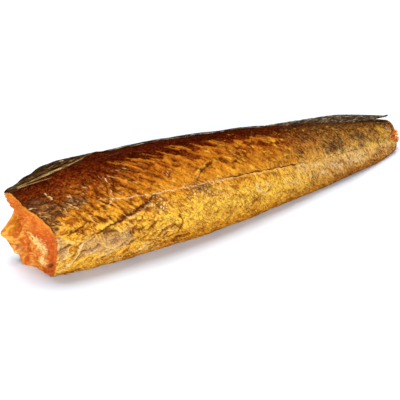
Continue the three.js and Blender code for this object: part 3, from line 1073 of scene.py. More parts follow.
@dataclass
class SmokedSkin(Finish):
    """Fish skin dried and browned by hot smoke.

    Its own oil makes its ridges glint, and the smoke's tar tints them gold. Smoke darkens the back most,
    and the belly stays golden. Each run of colours goes from the back, at 0, to the belly, at 1. The sizes
    of patterns are in millimetres.
    """

    name: str = "smoked_skin"
    # The darker HONEY and CARAMEL at the belly's end of these runs are partly painted shade where the belly
    # turns under; BISCUIT in the rear runs is partly a painted highlight band below the lateral line
    neck: Run = (
        (0.0, Tone.TAR), (0.24, Tone.MAHOGANY), (0.4, Tone.COPPER), (0.5, Tone.AMBER), (0.62, Tone.GOLD),
        (0.78, Tone.STRAW), (0.94, Tone.HONEY),
    )
    front: Run = (
        (0.0, Tone.TAR), (0.2, Tone.MAHOGANY), (0.32, Tone.COPPER), (0.42, Tone.AMBER), (0.52, Tone.GOLD),
        (0.66, Tone.STRAW), (0.86, Tone.HONEY),
    )
    rear: Run = (
        (0.0, Tone.TAR), (0.24, Tone.UMBER), (0.46, Tone.TAN), (0.56, Tone.BISCUIT), (0.66, Tone.BRASS),
        (0.78, Tone.CARAMEL),
    )
    # The gold laid over patches, flecks, pockets and crumple pillows; on the crumple pillows and on the
    # relief's crests it is painted highlight
    gilt: Run = (
        (0.14, Tone.MAHOGANY), (0.25, Tone.COPPER), (0.39, Tone.AMBER), (0.5, Tone.GOLD),
        (0.62, Tone.STRAW), (0.9, Tone.GOLD),
    )
    rear_gilt: Run = (
        (0.1, Tone.UMBER), (0.25, Tone.TAN), (0.42, Tone.BRASS), (0.54, Tone.BISCUIT), (0.66, Tone.BISCUIT),
        (0.76, Tone.BRASS), (0.88, Tone.CARAMEL),
    )
    # The brown that darkens patches, flecks and pockets as the smoke's colour, and darkens the crumple
    # creases and the relief's valleys as painted shade
    dark_front: str = "98420e"
    dark_rear: str = "96602c"
    neck_to_front: tuple[float, float] = (0.12, 0.3)
    front_to_rear: tuple[float, float] = (0.56, 0.78)
    wander_size: float = 13
    girth_wander: float = 0.07
    along_wander: float = 0.05
    patches: tuple[tuple[float, float], ...] = ((22, 0.55), (7, 0.4))
    stain_size: float = 20
    stain_wander: float = 0.15
    stains: tuple[tuple[str, Wash], ...] = (
        ("soot", Wash(0.1, 0.75, 0.85, "583828")), ("rust", Wash(0.2, 0.7, 0.8, "9c3c06")),
        ("ash", Wash(0.05, 0.7, 0.8, "b48860")),
    )
    fleck_size: tuple[float, float, float] = (3.0, 1.3, 1)
    fleck_turn: float = 50
    crumple_size: tuple[float, float, float] = (10, 4, 1)
    crumple_turn: float = 40
    pocket_size: float = 1.8
    net_size: float = 3
    wear_size: float = 6
    pore_size: float = 0.9
    mark_wander: float = 0.16
    marks: tuple[tuple[str, Wash], ...] = (
        ("soot", Wash(0.3, 0.9, 0.35, "44281a")), ("ash", Wash(0.1, 0.8, 0.4, "bc9060")),
        ("amber", Wash(0.1, 0.8, 0.65, "da8620")), ("glow", Wash(0.25, 0.75, 0.7, "ffc440")),
        ("brown", Wash(0.2, 0.75, 0.9, "4c2206")), ("cream", Wash(0.2, 0.75, 0.8, "ecc890")),
    )
    roughness: tuple[float, float] = (0.2, 0.45)
    girth: Socket = field(init=False)
    rearness: Socket = field(init=False)
    flank: Socket = field(init=False)
    dark: Socket = field(init=False)
    gold: Socket = field(init=False)

    def value(self, name: str, wander: Socket, reach: float) -> Socket:
        """A value of the mesh, made to wander a little.

        Args:
            name: The value's name.
            wander: Noise from 0 to 1.
            reach: How far it wanders to either side.

        Returns:
            The output.
        """
        carried = self.add("Attribute", output="Fac", attribute_name=name)
        span = {"Value": wander, "From Min": 0.25, "From Max": 0.75, "To Min": -reach, "To Max": reach}
        return self.add("Math", {0: carried, 1: self.add("MapRange", span)}, operation="ADD")

    def lay_ground(self) -> None:
        """Lay the main colours, and make the outputs that the other washes follow."""
        patches = {"Vector": self.place, "Scale": 1 / self.wander_size, "Detail": 5, "Roughness": 0.6}
        wander = self.add("TexNoise", patches)
        self.girth = self.value("girth", wander, self.girth_wander)
        along = self.value("along", wander, self.along_wander)
        fac = {"Fac": self.girth}
        runs = (self.neck, self.front, self.rear)
        self.colour, front, rear = (self.add("ValToRGB", fac, run, "Color") for run in runs)
        self.wash(along, Wash(*self.neck_to_front, 1, front))
        self.wash(along, Wash(*self.front_to_rear, 1, rear))
        rear_from, rear_full = self.front_to_rear
        self.rearness = self.add("MapRange", {"Value": along, "From Min": rear_from, "From Max": rear_full})
        self.flank = self.add("MapRange", {"Value": self.girth, "From Min": 0.1, "From Max": 0.34})
        darks = {"Factor": self.rearness, MIX_START: self.dark_front, MIX_END: self.dark_rear}
        self.dark = self.add("Mix", darks, data_type="RGBA")
        gilt, rear_gilt = (self.add("ValToRGB", fac, run, "Color") for run in (self.gilt, self.rear_gilt))
        golds = {"Factor": self.rearness, MIX_START: gilt, MIX_END: rear_gilt}
        self.gold = self.add("Mix", golds, data_type="RGBA")

    def smoke(self) -> None:
        """Lay broad patches of tone and the stains."""
        cloudy = {"Vector": self.place, "Detail": 4, "Roughness": 0.6}
        # Patches about 22 mm and 7 mm wide, where smoke took more or less
        for size, share in self.patches:
            patch = self.add("TexNoise", {**cloudy, "Scale": 1 / size})
            self.wash(patch, Wash(0.52, 0.36, share, self.dark, "MULTIPLY"))
            self.wash(patch, Wash(0.52, 0.68, 0.7 * share, self.gold))
        # Smoke stains, about 20 mm wide, on the rear flank above the lateral line
        stain = self.add("TexNoise", {**cloudy, "Scale": 1 / self.stain_size})
        upper = self.add("MapRange", {"Value": self.girth, "From Min": 0.56, "From Max": 0.5})
        upper = self.add("Math", {0: upper, 1: self.rearness}, operation="MULTIPLY")
        self.wash(stain, Wash(0.47, 0.62, 0.65, "624a2c"), upper)
        for name, wash in self.stains:
            self.wash(self.value(name, stain, self.stain_wander), wash)

    def flecks(self) -> Socket:
        """Lay flecks 3 mm long and 1.3 mm wide, the size of the small embedded scales.

        Returns:
            Their noise.
        """
        lay = {"Vector": self.place, "Rotation": (0, 0, self.fleck_turn * DEG), "Scale": self.fleck_size}
        slanted = self.add("Mapping", lay, vector_type="TEXTURE")
        fleck = self.add("TexNoise", {"Vector": slanted, "Scale": 1, "Detail": 3, "Distortion": 0.8})
        for within, dark_share, gold_share in ((None, 0.4, 0.45), (self.rearness, 0.35, 0.3)):
            self.wash(fleck, Wash(0.5, 0.38, dark_share, self.dark, "MULTIPLY"), within)
            self.wash(fleck, Wash(0.5, 0.6, gold_share, self.gold), within)
        return fleck

    def crumples(self) -> Socket:
        """Lay crumples 10 mm long and 4 mm wide: sharp creases with soft pillows between them, the creases
        darkened as painted shade and the pillows gilded as painted highlight.

        Returns:
            How far each point is from a crease.
        """
        lay = {"Vector": self.place, "Rotation": (0, 0, self.crumple_turn * DEG), "Scale": self.crumple_size}
        slanted = self.add("Mapping", lay, vector_type="TEXTURE")
        crumple = self.add("TexNoise", {"Vector": slanted, "Scale": 1, "Detail": 2, "Distortion": 1.0})
        crumple = self.add("Math", {0: crumple, 1: 0.5}, operation="SUBTRACT")
        crumple = self.add("Math", {0: crumple}, operation="ABSOLUTE")
        # Painted shade in the creases and painted highlight on the pillows between them
        self.wash(crumple, Wash(0.035, 0.0, 0.75, self.dark, "MULTIPLY"))
        self.wash(crumple, Wash(0.06, 0.16, 0.5, self.gold))
        return crumple

    def pockets(self) -> None:
        """Fill the scale pockets of the back with tar, and paint shade into the valleys of the relief and
        highlight onto its crests.
        """
        # Real pockets are about 1 mm wide, and these are drawn at 1.8 mm, or they would not show
        back = self.add("MapRange", {"Value": self.girth, "From Min": 0.44, "From Max": 0.26})
        pocket = self.add("TexVoronoi", {"Vector": self.place, "Scale": 1 / self.pocket_size})
        self.wash(pocket, Wash(0.3, 0.7, 0.75, self.dark, "MULTIPLY"), back)
        self.wash(pocket, Wash(0.3, 0.05, 0.45, self.gold), back)
        # Painted shade in the valleys of the relief and painted highlight on its crests
        self.wash("crest", Wash(0.42, 0.05, 0.6, self.dark, "MULTIPLY"))
        self.wash("crest", Wash(0.6, 1.0, 0.6, self.gold), self.flank)

    def net(self) -> None:
        """Draw the net of the scale pockets below the lateral line: pale blisters with brown rims."""
        # Real ones are finer too, and these are drawn at 3 mm, or they would not show
        cells = {"Vector": self.place, "Scale": 1 / self.net_size}
        cell = self.add("TexVoronoi", cells, feature="DISTANCE_TO_EDGE")
        shown = self.add("Attribute", output="Fac", attribute_name="net")
        self.wash(cell, Wash(0.1, 0.3, 0.75, "f8d890"), shown)
        self.wash(cell, Wash(0.14, 0.02, 0.8, "86500f"), shown)

    def dress(self) -> None:
        """Lay the colours and close the tree."""
        self.lay_ground()
        self.smoke()
        fleck = self.flecks()
        crumple = self.crumples()
        self.pockets()
        for name, wash in self.marks:
            self.wash(self.value(name, fleck, self.mark_wander), wash)
        self.net()
        worn = self.add("TexNoise", {"Vector": self.place, "Scale": 1 / self.wear_size, "Detail": 3})
        low, high = self.roughness
        polish = {"Value": worn, "From Min": 0.3, "From Max": 0.7, "To Min": low, "To Max": high}
        gloss = self.add("MapRange", polish)
        # Pores and the finest wrinkles, drawn at 0.9 mm, or they would not show
        finest = {"Vector": self.place, "Scale": 1 / self.pore_size, "Detail": 3, "Roughness": 0.6}
        pores = self.add("TexNoise", finest)
        grain = self.add("Math", {0: pores, 1: 0.4, 2: fleck}, operation="MULTIPLY_ADD")
        grain = self.add("Math", {0: crumple, 1: 5.0, 2: grain}, operation="MULTIPLY_ADD")
        self.close(
            grain, 0.9, 0.0007, Roughness=gloss, IOR=1.42, Specular_Tint="ffbe68", Subsurface_Weight=0.05,
            Subsurface_Scale=0.002, Subsurface_Radius=(1.0, 0.4, 0.15),
        )


@dataclass
class SmokedFlesh(Finish):
    """Hot-smoked ling flesh, torn open.

    The moist flakes let light through, so thin edges glow orange, and their cut ends shine.
    """

    name: str = "smoked_flesh"
    ground: str = "d86a1c"
    cloud_size: float = 9
    fibre_size: float = 1.2
    washes: tuple[tuple[str, Wash], ...] = (
        ("yellow", Wash(0, 1, 0.85, "e8a02c")), ("deep", Wash(0, 1, 0.85, "c04c14")),
        ("arcs", Wash(0, 1, 0.75, "f0a440")), ("streak", Wash(0.45, 0.15, 0.6, "a84c0c")),
        ("streak", Wash(0.55, 0.9, 0.5, "f4b858")), ("pale", Wash(0, 1, 0.95, "ffe08c")),
        ("dark", Wash(0, 1, 0.9, "5a1804")),
    )

    def dress(self) -> None:
        """Lay the colours and close the tree."""
        self.colour = self.ground
        cloud = self.add("TexNoise", {"Vector": self.place, "Scale": 1 / self.cloud_size, "Detail": 3})
        self.wash(cloud, Wash(0.35, 0.65, 1, "e07c20"))
        # Muscle fibres are finer than 1 mm, and are drawn 1.2 mm across, or they would not show
        fibre_inputs = {"Vector": self.place, "Scale": 1 / self.fibre_size, "Detail": 3, "Roughness": 0.6}
        fibre = self.add("TexNoise", fibre_inputs)
        for name, wash in self.washes:
            self.wash(name, wash)
        self.wash(fibre, Wash(0.5, 0.35, 0.35, "b8440c"))
        self.wash(fibre, Wash(0.55, 0.7, 0.3, "fcc068"))
        self.close(
            fibre, 0.5, 0.0005, Roughness=0.38, IOR=1.42, Specular_Tint="ffd8a0", Subsurface_Weight=0.18,
            Subsurface_Scale=0.004, Subsurface_Radius=(1.0, 0.45, 0.15),
        )


@dataclass
class DriedFin(Finish):
    """Fin rays and membrane, dried hard in the smoke.

    The rays are horn-coloured with darker joints, and the membrane between them is nearly black. Streaks run
    through three tones, and dark joints lie as many millimetres apart as joint says.
    """

    dark: str
    middle: str
    light: str
    joint: float
    streak: float = 0.9
    streak_length: float = 10

    def dress(self) -> None:
        """Lay the colours and close the tree."""
        self.colour = self.dark
        # Streaks along the rays, 0.9 mm across and 10 mm long
        shortened = {"Vector": self.place, "Scale": (self.streak / self.streak_length, 1, 1)}
        along = self.add("Mapping", shortened)
        lay = {"Vector": along, "Scale": 1 / self.streak, "Detail": 3, "Roughness": 0.6}
        streak = self.add("TexNoise", lay)
        self.wash(streak, Wash(0.44, 0.54, 1, self.middle))
        self.wash(streak, Wash(0.54, 0.63, 1, self.light))
        bands = {"Vector": self.place, "Scale": WAVE_PITCH / self.joint, "Distortion": 2.0}
        joints = self.add("TexWave", bands, output="Fac", wave_type="BANDS", bands_direction="X")
        self.wash(joints, Wash(0.6, 0.95, 0.45, self.dark))
        self.wash("pale", Wash(0.2, 0.7, 0.85, "d8c098"))
        self.close(streak, 0.5, 0.0003, Roughness=0.5, IOR=1.5, Specular_Tint="ffdcac")


@dataclass
class WhiteCard(Finish):
    """White painted card under the fish: matt, so it shows only soft shadow."""

    name: str = "white_card"
    paint: str = "e8eef5"
    tooth: float = 0.5

    def dress(self) -> None:
        """Lay the colours and close the tree."""
        self.colour = self.paint
        # The card's place is in metres, and its tooth is 0.5 mm wide
        spot = self.add("NewGeometry", output="Position")
        tooth = self.add("TexNoise", {"Vector": spot, "Scale": 1 / (self.tooth * MM)})
        self.close(tooth, 0.05, 0.00005, Roughness=0.9, IOR=1.3)


@dataclass(frozen=True)
class Edge:
    """The ragged edges of both cuts, which skin and flesh share."""

    fray: float = 0.8
    fray_size: float = 4.5
    fine_fray: float = 0.45
    fine_size: float = 1.6
    radius: float = 38
    head_seed: float = 3
    tail_seed: float = 40
    tail_share: float = 0.5
    decay: tuple[float, float] = (0.16, 0.12)
    bared: float = 0.4
    bared_flank: float = 5.5
    flank_above: tuple[float, float] = (5, 25)
    flank_below: tuple[float, float] = (130, 105)

    def ragged(self, angle: Array, seed: float) -> Array:
        """Fray an edge.

        Args:
            angle: Angle of each place.
            seed: Which of many patterns.

        Returns:
            Millimetres towards the tail.
        """
        turn = angle * DEG
        ring = np.stack([self.radius * np.cos(turn), self.radius * np.sin(turn), 0 * turn], -1)
        fine = self.fine_fray * lumps(ring, self.fine_size, seed + 5)
        return self.fray * lumps(ring, self.fray_size, seed) + fine

    def head(self, angle: Array) -> Array:
        """Where the head cut ends the flesh."""
        return FORM.head_cut.rim(angle) + self.ragged(angle, self.head_seed)

    def tail(self, angle: Array) -> Array:
        """Where the tail cut ends the flesh."""
        return FORM.tail_cut.rim(angle) + self.tail_share * self.ragged(angle, self.tail_seed)

    def between(self, share: Array, angle: Array, drawn_back: float = 0.0) -> Array:
        """Distance from the nape, a share of the way from the head cut to the tail cut.

        Args:
            share: From 0 to 1, one for each row.
            angle: One for each column.
            drawn_back: Millimetres by which the skin has shrunk back from the cut.

        Returns:
            Distances by row and column.
        """
        share, angle = share[:, None], angle[None]
        first, last = FORM.head_cut.middle, FORM.tail_cut.middle
        head = (self.head(angle) + drawn_back - first) * (1 - smooth(0, self.decay[0], share))
        flank = self.bared_flank * smooth(*self.flank_above, angle) * smooth(*self.flank_below, angle)
        bared = drawn_back * (self.bared + flank)
        tail = (self.tail(angle) - bared - last) * smooth(1 - self.decay[1], 1, share)
        return mix(first, last, share) + head + tail


@dataclass(frozen=True)
class Columns:
    """Angles round the fish, closer together on the shown flank."""

    shown: int = 184
    hidden: int = 72
    turn: tuple[float, float] = (-12, 188)
    least: float = -160

    def angles(self) -> Array:
        """Space the columns.

        Returns:
            The angle of each column, from -160 to 200.
        """
        start, end = self.turn
        near = np.linspace(start, end, self.shown, endpoint=False)
        far = np.linspace(end, start + 360, self.hidden, endpoint=False)
        return (np.concatenate([near, far]) - self.least) % 360 + self.least


@dataclass(frozen=True)
class Folds:
    """Long folds of one size with a sharp crest, and their heights on taut and on loose skin.

    A heading of 0 runs to the tail and 90 to the belly.
    """

    size: float
    taut: float
    loose: float
    seed: float
    length: float = 3
    bend: float = 0.25
    bend_size: float = 1.4
    neck_heading: float = 42
    flap_heading: float = -32

    def run(self, s: Array, arc: Array, heading: float, seed: float) -> Array:
        """Lay folds that run one way.

        Args:
            s: Distance from the nape of each place.
            arc: Millimetres round the fish to each place.
            heading: The way they run.
            seed: Which of many patterns.

        Returns:
            A depth for each place, from 0 on a crest to about 0.5 in a valley.
        """
        along, down = math.cos(heading * DEG), math.sin(heading * DEG)
        turned = np.stack([(s * along + arc * down) / self.length, arc * along - s * down, 0 * s], -1)
        bends = [lumps(turned, self.bend_size * self.size, seed + i) for i in (3, 5, 8)]
        return np.abs(lumps(turned + self.bend * self.size * np.stack(bends, -1), self.size, seed))

    def depth(self, s: Array, arc: Array, flap: Array) -> Array:
        """Depth of the folds, which run down to the tail on the neck and up to it on the belly flap."""
        neck = self.run(s, arc, self.neck_heading, self.seed)
        return mix(neck, self.run(s, arc, self.flap_heading, self.seed + 20), flap)


@dataclass(frozen=True)
class Crumple:
    """Crumples of the dried skin, most on the neck and the belly flap."""

    wide: Folds = Folds(4.6, 0.2, 2.4, 2)
    fine: Folds = Folds(2.6, 0.1, 1.2, 61)
    small_size: float = 2.8
    small_height: float = 0.5
    small_front: tuple[float, float] = (300, 200)
    mean: float = 0.2
    neck: tuple[float, float] = (150, 80)
    neck_angles: tuple[float, float] = (34, 66)
    belly_share: float = 0.5
    belly: tuple[float, float] = (290, 200)
    belly_angles: tuple[float, float] = (84, 104)
    flap_angles: tuple[float, float] = (100, 116)
    mark_share: float = 0.5

    def loose(self, s: Array, turned: Array) -> Array:
        """How loose the skin is, from 0 to 1."""
        belly = self.belly_share * smooth(*self.belly, s) * smooth(*self.belly_angles, turned)
        return np.clip(smooth(*self.neck, s) * smooth(*self.neck_angles, turned) + belly, 0, 1)

    def draw(self, drawn: SkinMap) -> None:
        """Crumple the skin.

        Args:
            drawn: The map that gets the relief and the marks.
        """
        at, arc = FORM.skin_point(drawn.s, drawn.angle), FORM.arc(drawn.s, drawn.angle)
        turned = np.abs(drawn.angle)
        loose = self.loose(drawn.s, turned)
        flap = smooth(*self.flap_angles, turned)
        for folds in (self.wide, self.fine):
            depth = folds.depth(drawn.s, arc, flap)
            drawn.raised += (folds.taut + folds.loose * loose) * (self.mean - depth)
            if folds is self.wide:
                self.mark(drawn, at, depth, loose)
        small = np.abs(lumps(at, self.small_size, 17))
        drawn.raised += self.small_height * (1 + smooth(*self.small_front, drawn.s)) * (self.mean - small)

    def mark(self, drawn: SkinMap, at: Array, depth: Array, loose: Array) -> None:
        """Mark the wide folds with painted highlight, in cream on their crests, and painted shade, in brown
        in their valleys.

        Args:
            drawn: The map that gets the marks.
            at: Points of the skin.
            depth: Depth of the folds at each place.
            loose: How loose the skin is at each place.
        """
        crest = smooth(0.08, 0.01, depth) * loose * smooth(0.25, -0.15, lumps(at, 12, 47))
        valley = smooth(0.3, 0.5, depth) * loose * smooth(-0.25, 0.1, lumps(at, 16, 41))
        # Cream is painted highlight on the fold crests and brown is painted shade in their valleys
        for mark, shape in ((Mark.BROWN, valley), (Mark.CREAM, crest)):
            drawn.marks[mark] = np.maximum(drawn.marks[mark], self.mark_share * shape)


@dataclass(frozen=True)
class Skin:
    """The skin, a closed shell whose edges show at both cuts."""

    rows: int = 372
    inner_rows: int = 10
    thickness: float = 1.0
    inner_depth: float = 3.0
    taper: float = 0.06
    drawn_back: float = 0.7
    lip: float = 0.006
    lip_depth: float = 0.35
    valley: float = -2.2
    edge_valley: float = -0.3
    valley_from: float = 0.008
    rim_end: float = 0.992
    rim_angles: tuple[float, float] = (105, 70)
    inner_brown: float = 0.4
    seed: int = 7
    edge: Edge = Edge()

    def surface_map(self, s: Array, angle: Array) -> SkinMap:
        """Draw everything that the skin carries.

        Args:
            s: Distance from the nape of each place.
            angle: Angle of each place.

        Returns:
            Its heights and marks.
        """
        drawn = SkinMap(s, angle)
        rng = np.random.default_rng(self.seed)
        for scatter in FIELDS:
            for stroke in scatter.strokes(rng):
                drawn.draw(stroke)
        for stroke in LANDMARKS:
            drawn.draw(stroke)
        Crumple().draw(drawn)
        return drawn

    def outer(self, drawn: SkinMap, share: Array) -> Array:
        """Make the outer wall, turned in at its edges.

        Args:
            drawn: Its heights, which are kept from reaching down to the flesh near the cuts.
            share: Share of the way from cut to cut of each row.

        Returns:
            Points by row and column.
        """
        floor = mix(self.edge_valley, self.valley, inside(share, self.valley_from, self.taper))
        drawn.raised = np.maximum(drawn.raised, floor[:, None])
        lip = inside(share, 0, self.lip)[:, None]
        return FORM.skin_point(drawn.s, drawn.angle, drawn.raised * lip - self.lip_depth * (1 - lip))

    def inner(self, share: Array, s: Array, angle: Array) -> Array:
        """Points of the inner wall, which runs shallower at the cuts."""
        depth = mix(self.thickness, self.inner_depth, inside(share, 0, self.taper))
        return FORM.skin_point(s, angle, -depth[:, None])

    def values(self, drawn: SkinMap, share: Array, s: Array, angle: Array) -> dict[str, Array]:
        """What the finish reads at each place.

        Args:
            drawn: Heights and marks of the outer wall.
            share: Share of the way from cut to cut of each of its rows.
            s: Distance from the nape of each place of both walls.
            angle: Angle of each place of both walls.

        Returns:
            The values by name.
        """
        rows = len(share)
        blank = np.zeros_like(s[rows:])
        values = {mark.value: np.concatenate([drawn.marks[mark], blank]) for mark in Mark}
        rim = np.maximum(1 - smooth(0, self.lip, share), 1 - smooth(1, self.rim_end, share))[:, None]
        browned = rim * smooth(*self.rim_angles, np.abs(angle[:rows]))
        brown = np.maximum(drawn.marks[Mark.BROWN], browned)
        values["brown"] = np.concatenate([brown, blank + self.inner_brown])
        # The relief's height, which the finish turns into painted shade in valleys and painted highlight on
        # crests
        values["crest"] = np.concatenate([np.clip(0.5 + 0.6 * drawn.raised, 0, 1), blank])
        values["girth"] = np.abs(angle) / 180
        values["along"] = s / FORM.length
        values["place"] = np.stack([s, FORM.arc(s, angle), 0 * s], -1)
        return values

    def build(self) -> None:
        """Make the skin."""
        columns = Columns().angles()
        share, inner_share = np.linspace(0, 1, self.rows), np.linspace(1, 0, self.inner_rows)
        s, inner_s = (self.edge.between(rows, columns, self.drawn_back) for rows in (share, inner_share))
        angle, inner_angle = (np.broadcast_to(columns, places.shape) for places in (s, inner_s))
        drawn = self.surface_map(s, angle)
        walls = [self.outer(drawn, share), self.inner(inner_share, inner_s, inner_angle)]
        both_s, both_angles = np.concatenate([s, inner_s]), np.concatenate([angle, inner_angle])
        surface = Surface()
        surface.add_tube(np.concatenate(walls), self.values(drawn, share, both_s, both_angles), ends=False)
        surface.piece("skin", SmokedSkin().material())


@dataclass(frozen=True)
class TornFace:
    """Places of the head cut, and what chance makes of the flesh there."""

    share: Array
    angle: Array
    u: Array
    v: Array
    away: Array
    coarse: Array
    middling: Array
    fine: Array
    fibres: Array
    flakes: Array


@dataclass(frozen=True)
class HeadCut:
    """The torn flesh of the head cut: flakes in steps round the backbone, and fibres that run outwards."""

    rows: int = 60
    middle_share: float = 0.02
    frayed_from: float = 0.8
    depth_share: float = 0.35
    backbone: Spot = Spot(12, -13, 6, 7)
    nerve: Spot = Spot(5, -4, 3, 7, 0.8)
    vein: Spot = Spot(1, -27, 6, 5, 0.9)
    slot: Spot = Spot(6, -33, 2.6, 1.4)
    slot_depth: float = 3.5
    bead: Spot = Spot(-28, -15, 2.2, 2.2)
    bead_height: float = 2.5
    hollow: Spot = Spot(-17, -15, 5, 7)
    hole: Spot = Spot(-26, -10, 2.4, 2.4, 0.6)
    flake_pitch: float = 5.2
    flake_step: float = 0.7
    flakes_from: tuple[float, float] = (5, 9)
    flakes_to: tuple[float, float] = (38, 20)
    fibre_turns: float = 2.2
    fibre_size: float = 0.2

    def torn(self, share: Array, angle: Array, s: Array, u: Array, v: Array) -> TornFace:
        """Tear the flesh.

        Args:
            share: From 0 in the middle to 1 at the edge.
            angle: Direction from the middle.
            s: Distance from the nape of each place.
            u: Distance from the median plane.
            v: Distance from the axis.

        Returns:
            The places with their lumps, fibres and flakes.
        """
        at = np.stack([self.depth_share * s, u, v], -1)
        coarse, middling, fine = (lumps(at, size, seed) for size, seed in ((7, 50), (3.6, 55), (2, 60)))
        right, up = u - self.backbone.u, v - self.backbone.v
        away, turn = np.hypot(right, up), np.arctan2(up, right)
        # Fibres break where one flake ends and the next begins
        bent = turn + 0.25 * coarse + 0.1 * middling
        spokes = [self.fibre_turns * np.cos(bent), self.fibre_turns * np.sin(bent), 0.03 * away]
        fibres = lumps(np.stack(spokes, -1), self.fibre_size, 66)
        flakes = np.sin(TURN * (away + 4 * coarse + 1.2 * middling) / self.flake_pitch)
        return TornFace(share, angle, u, v, away, coarse, middling, fine, fibres, flakes)

    def relief(self, face: TornFace) -> Array:
        """Shape the torn flesh.

        Args:
            face: The places of the cut.

        Returns:
            Millimetres towards the tail.
        """
        steps = self.flake_step * face.flakes * smooth(*self.flakes_from, face.away)
        rough = 1.1 * face.coarse + 0.7 * face.middling + 0.5 * np.abs(face.fine) + 0.5 * face.fibres
        slot, bead = self.slot.on(face.u, face.v), self.bead.on(face.u, face.v)
        torn = smooth(1.0, 0.9, face.share) * (rough - steps)
        return torn + self.slot_depth * slot - self.bead_height * bead

    def tints(self, face: TornFace) -> dict[str, Array]:
        """Colour the torn flesh.

        Args:
            face: The places of the cut.

        Returns:
            How much of each tint each place has, from 0 to 1.
        """
        # Pale are the star round the backbone, the bead and the frayed far edge
        star = sum(spot.on(face.u, face.v) for spot in (self.backbone, self.nerve, self.vein))
        star = 1.9 * star * (0.6 + 1.6 * face.fibres + 0.8 * face.middling)
        frayed = smooth(0.9, 1, face.share + 0.1 * face.middling) * smooth(-12, -20, face.u)
        # Golden are the flakes round the backbone
        ring = smooth(*self.flakes_to, face.away) * smooth(*self.flakes_from, face.away)
        shown = smooth(16, 10, face.u - 0.3 * face.v) * smooth(-34, -2, face.u)
        flakes = smooth(0.1, 1.1, face.flakes + 1.2 * face.fibres + 0.6 * face.middling)
        # A deep orange red lies near the shown edge, low down, and in lumps and hollows
        near = smooth(14, 21, face.u + 0.25 * (face.v + 20)) * smooth(2, -9, face.v + 6 * face.coarse)
        low = smooth(0.72, 0.84, face.share) * smooth(205, 180, face.angle) * smooth(95, 125, face.angle)
        dents = 0.4 * smooth(-0.1, -0.5, face.coarse) * smooth(1.0, 0.9, face.share)
        hollow = 0.7 * self.hollow.on(face.u, face.v)
        # Yellow are the far side and the edge
        far = smooth(-15, -31, face.u + 9 * face.middling) * smooth(-14, -6, face.v)
        return {
            "pale": np.clip(star + 0.5 * self.bead.on(face.u, face.v) + 0.2 * frayed, 0, 1),
            "arcs": 0.8 * flakes * ring * shown,
            "deep": np.clip(0.85 * np.maximum(near, low) + dents + hollow, 0, 1),
            "yellow": np.clip(0.8 * far + 0.6 * smooth(0.86, 1, face.share + 0.2 * face.middling), 0, 1),
        }

    def build(self, angle: Array, inset: float, edge: Edge) -> tuple[Array, dict[str, Array]]:
        """Make the cut.

        Args:
            angle: The angle of each column.
            inset: How far inside the skin its edge is.
            edge: The ragged edges.

        Returns:
            Points by row and column from the middle outwards, and their values.
        """
        share = np.linspace(self.middle_share, 1, self.rows)[:, None]
        angle = angle[None]
        s, u, v = FORM.head_face(share, angle, inset)
        s = s + (edge.head(angle) - FORM.head_cut.rim(angle)) * smooth(self.frayed_from, 1, share)
        face = self.torn(share, angle, s, u, v)
        fibres = (1.1 * face.fibres + 0.5 * face.fine) * (0.25 + 0.75 * smooth(-6, -16, u))
        values = {
            **self.tints(face),
            # Painted shade in the slot and in the pocket pit of the far lobe
            "dark": np.clip(1.6 * self.slot.on(u, v) + self.hole.on(u, v), 0, 1),
            "streak": 0.5 + fibres * smooth(5, 12, face.away),
            "place": np.stack([self.depth_share * s, u, v], -1),
        }
        return FORM.place(s + self.relief(face), u, v), values


@dataclass(frozen=True)
class TailCut:
    """The flesh of the tail cut, dark in the groove round its stub."""

    rows: int = 26
    middle_share: float = 0.03
    frayed_from: float = 0.85
    depth_share: float = 0.35

    def build(self, angle: Array, inset: float, edge: Edge) -> tuple[Array, dict[str, Array]]:
        """Make the cut.

        Args:
            angle: The angle of each column.
            inset: How far inside the skin its edge is.
            edge: The ragged edges.

        Returns:
            Points by row and column from the edge inwards, and their values.
        """
        share = np.linspace(1, self.middle_share, self.rows)[:, None]
        angle = angle[None]
        s, u, v = FORM.tail_face(share, angle, inset)
        s = s + (edge.tail(angle) - FORM.tail_cut.rim(angle)) * smooth(self.frayed_from, 1, share)
        at = np.stack([self.depth_share * s, u, v], -1)
        coarse, fine = (lumps(at, size, seed) for size, seed in ((4, 70), (1.8, 80)))
        s = s + smooth(1, self.frayed_from, share) * (1.1 * coarse + 0.5 * fine)
        blank = np.zeros_like(u)
        groove = share - FORM.stub.groove_share
        values = {
            "pale": blank,
            "arcs": smooth(0.1, 0.5, coarse) * 0.5,
            "yellow": blank,
            "streak": 0.5 + fine,
            "deep": np.clip(bell(groove / 0.08) + smooth(0, 10, v) * 0.8, 0, 1) + blank,
            "dark": 0.9 * bell(groove / FORM.stub.groove_width) + blank,
            "place": at,
        }
        return FORM.place(s, u, v), values


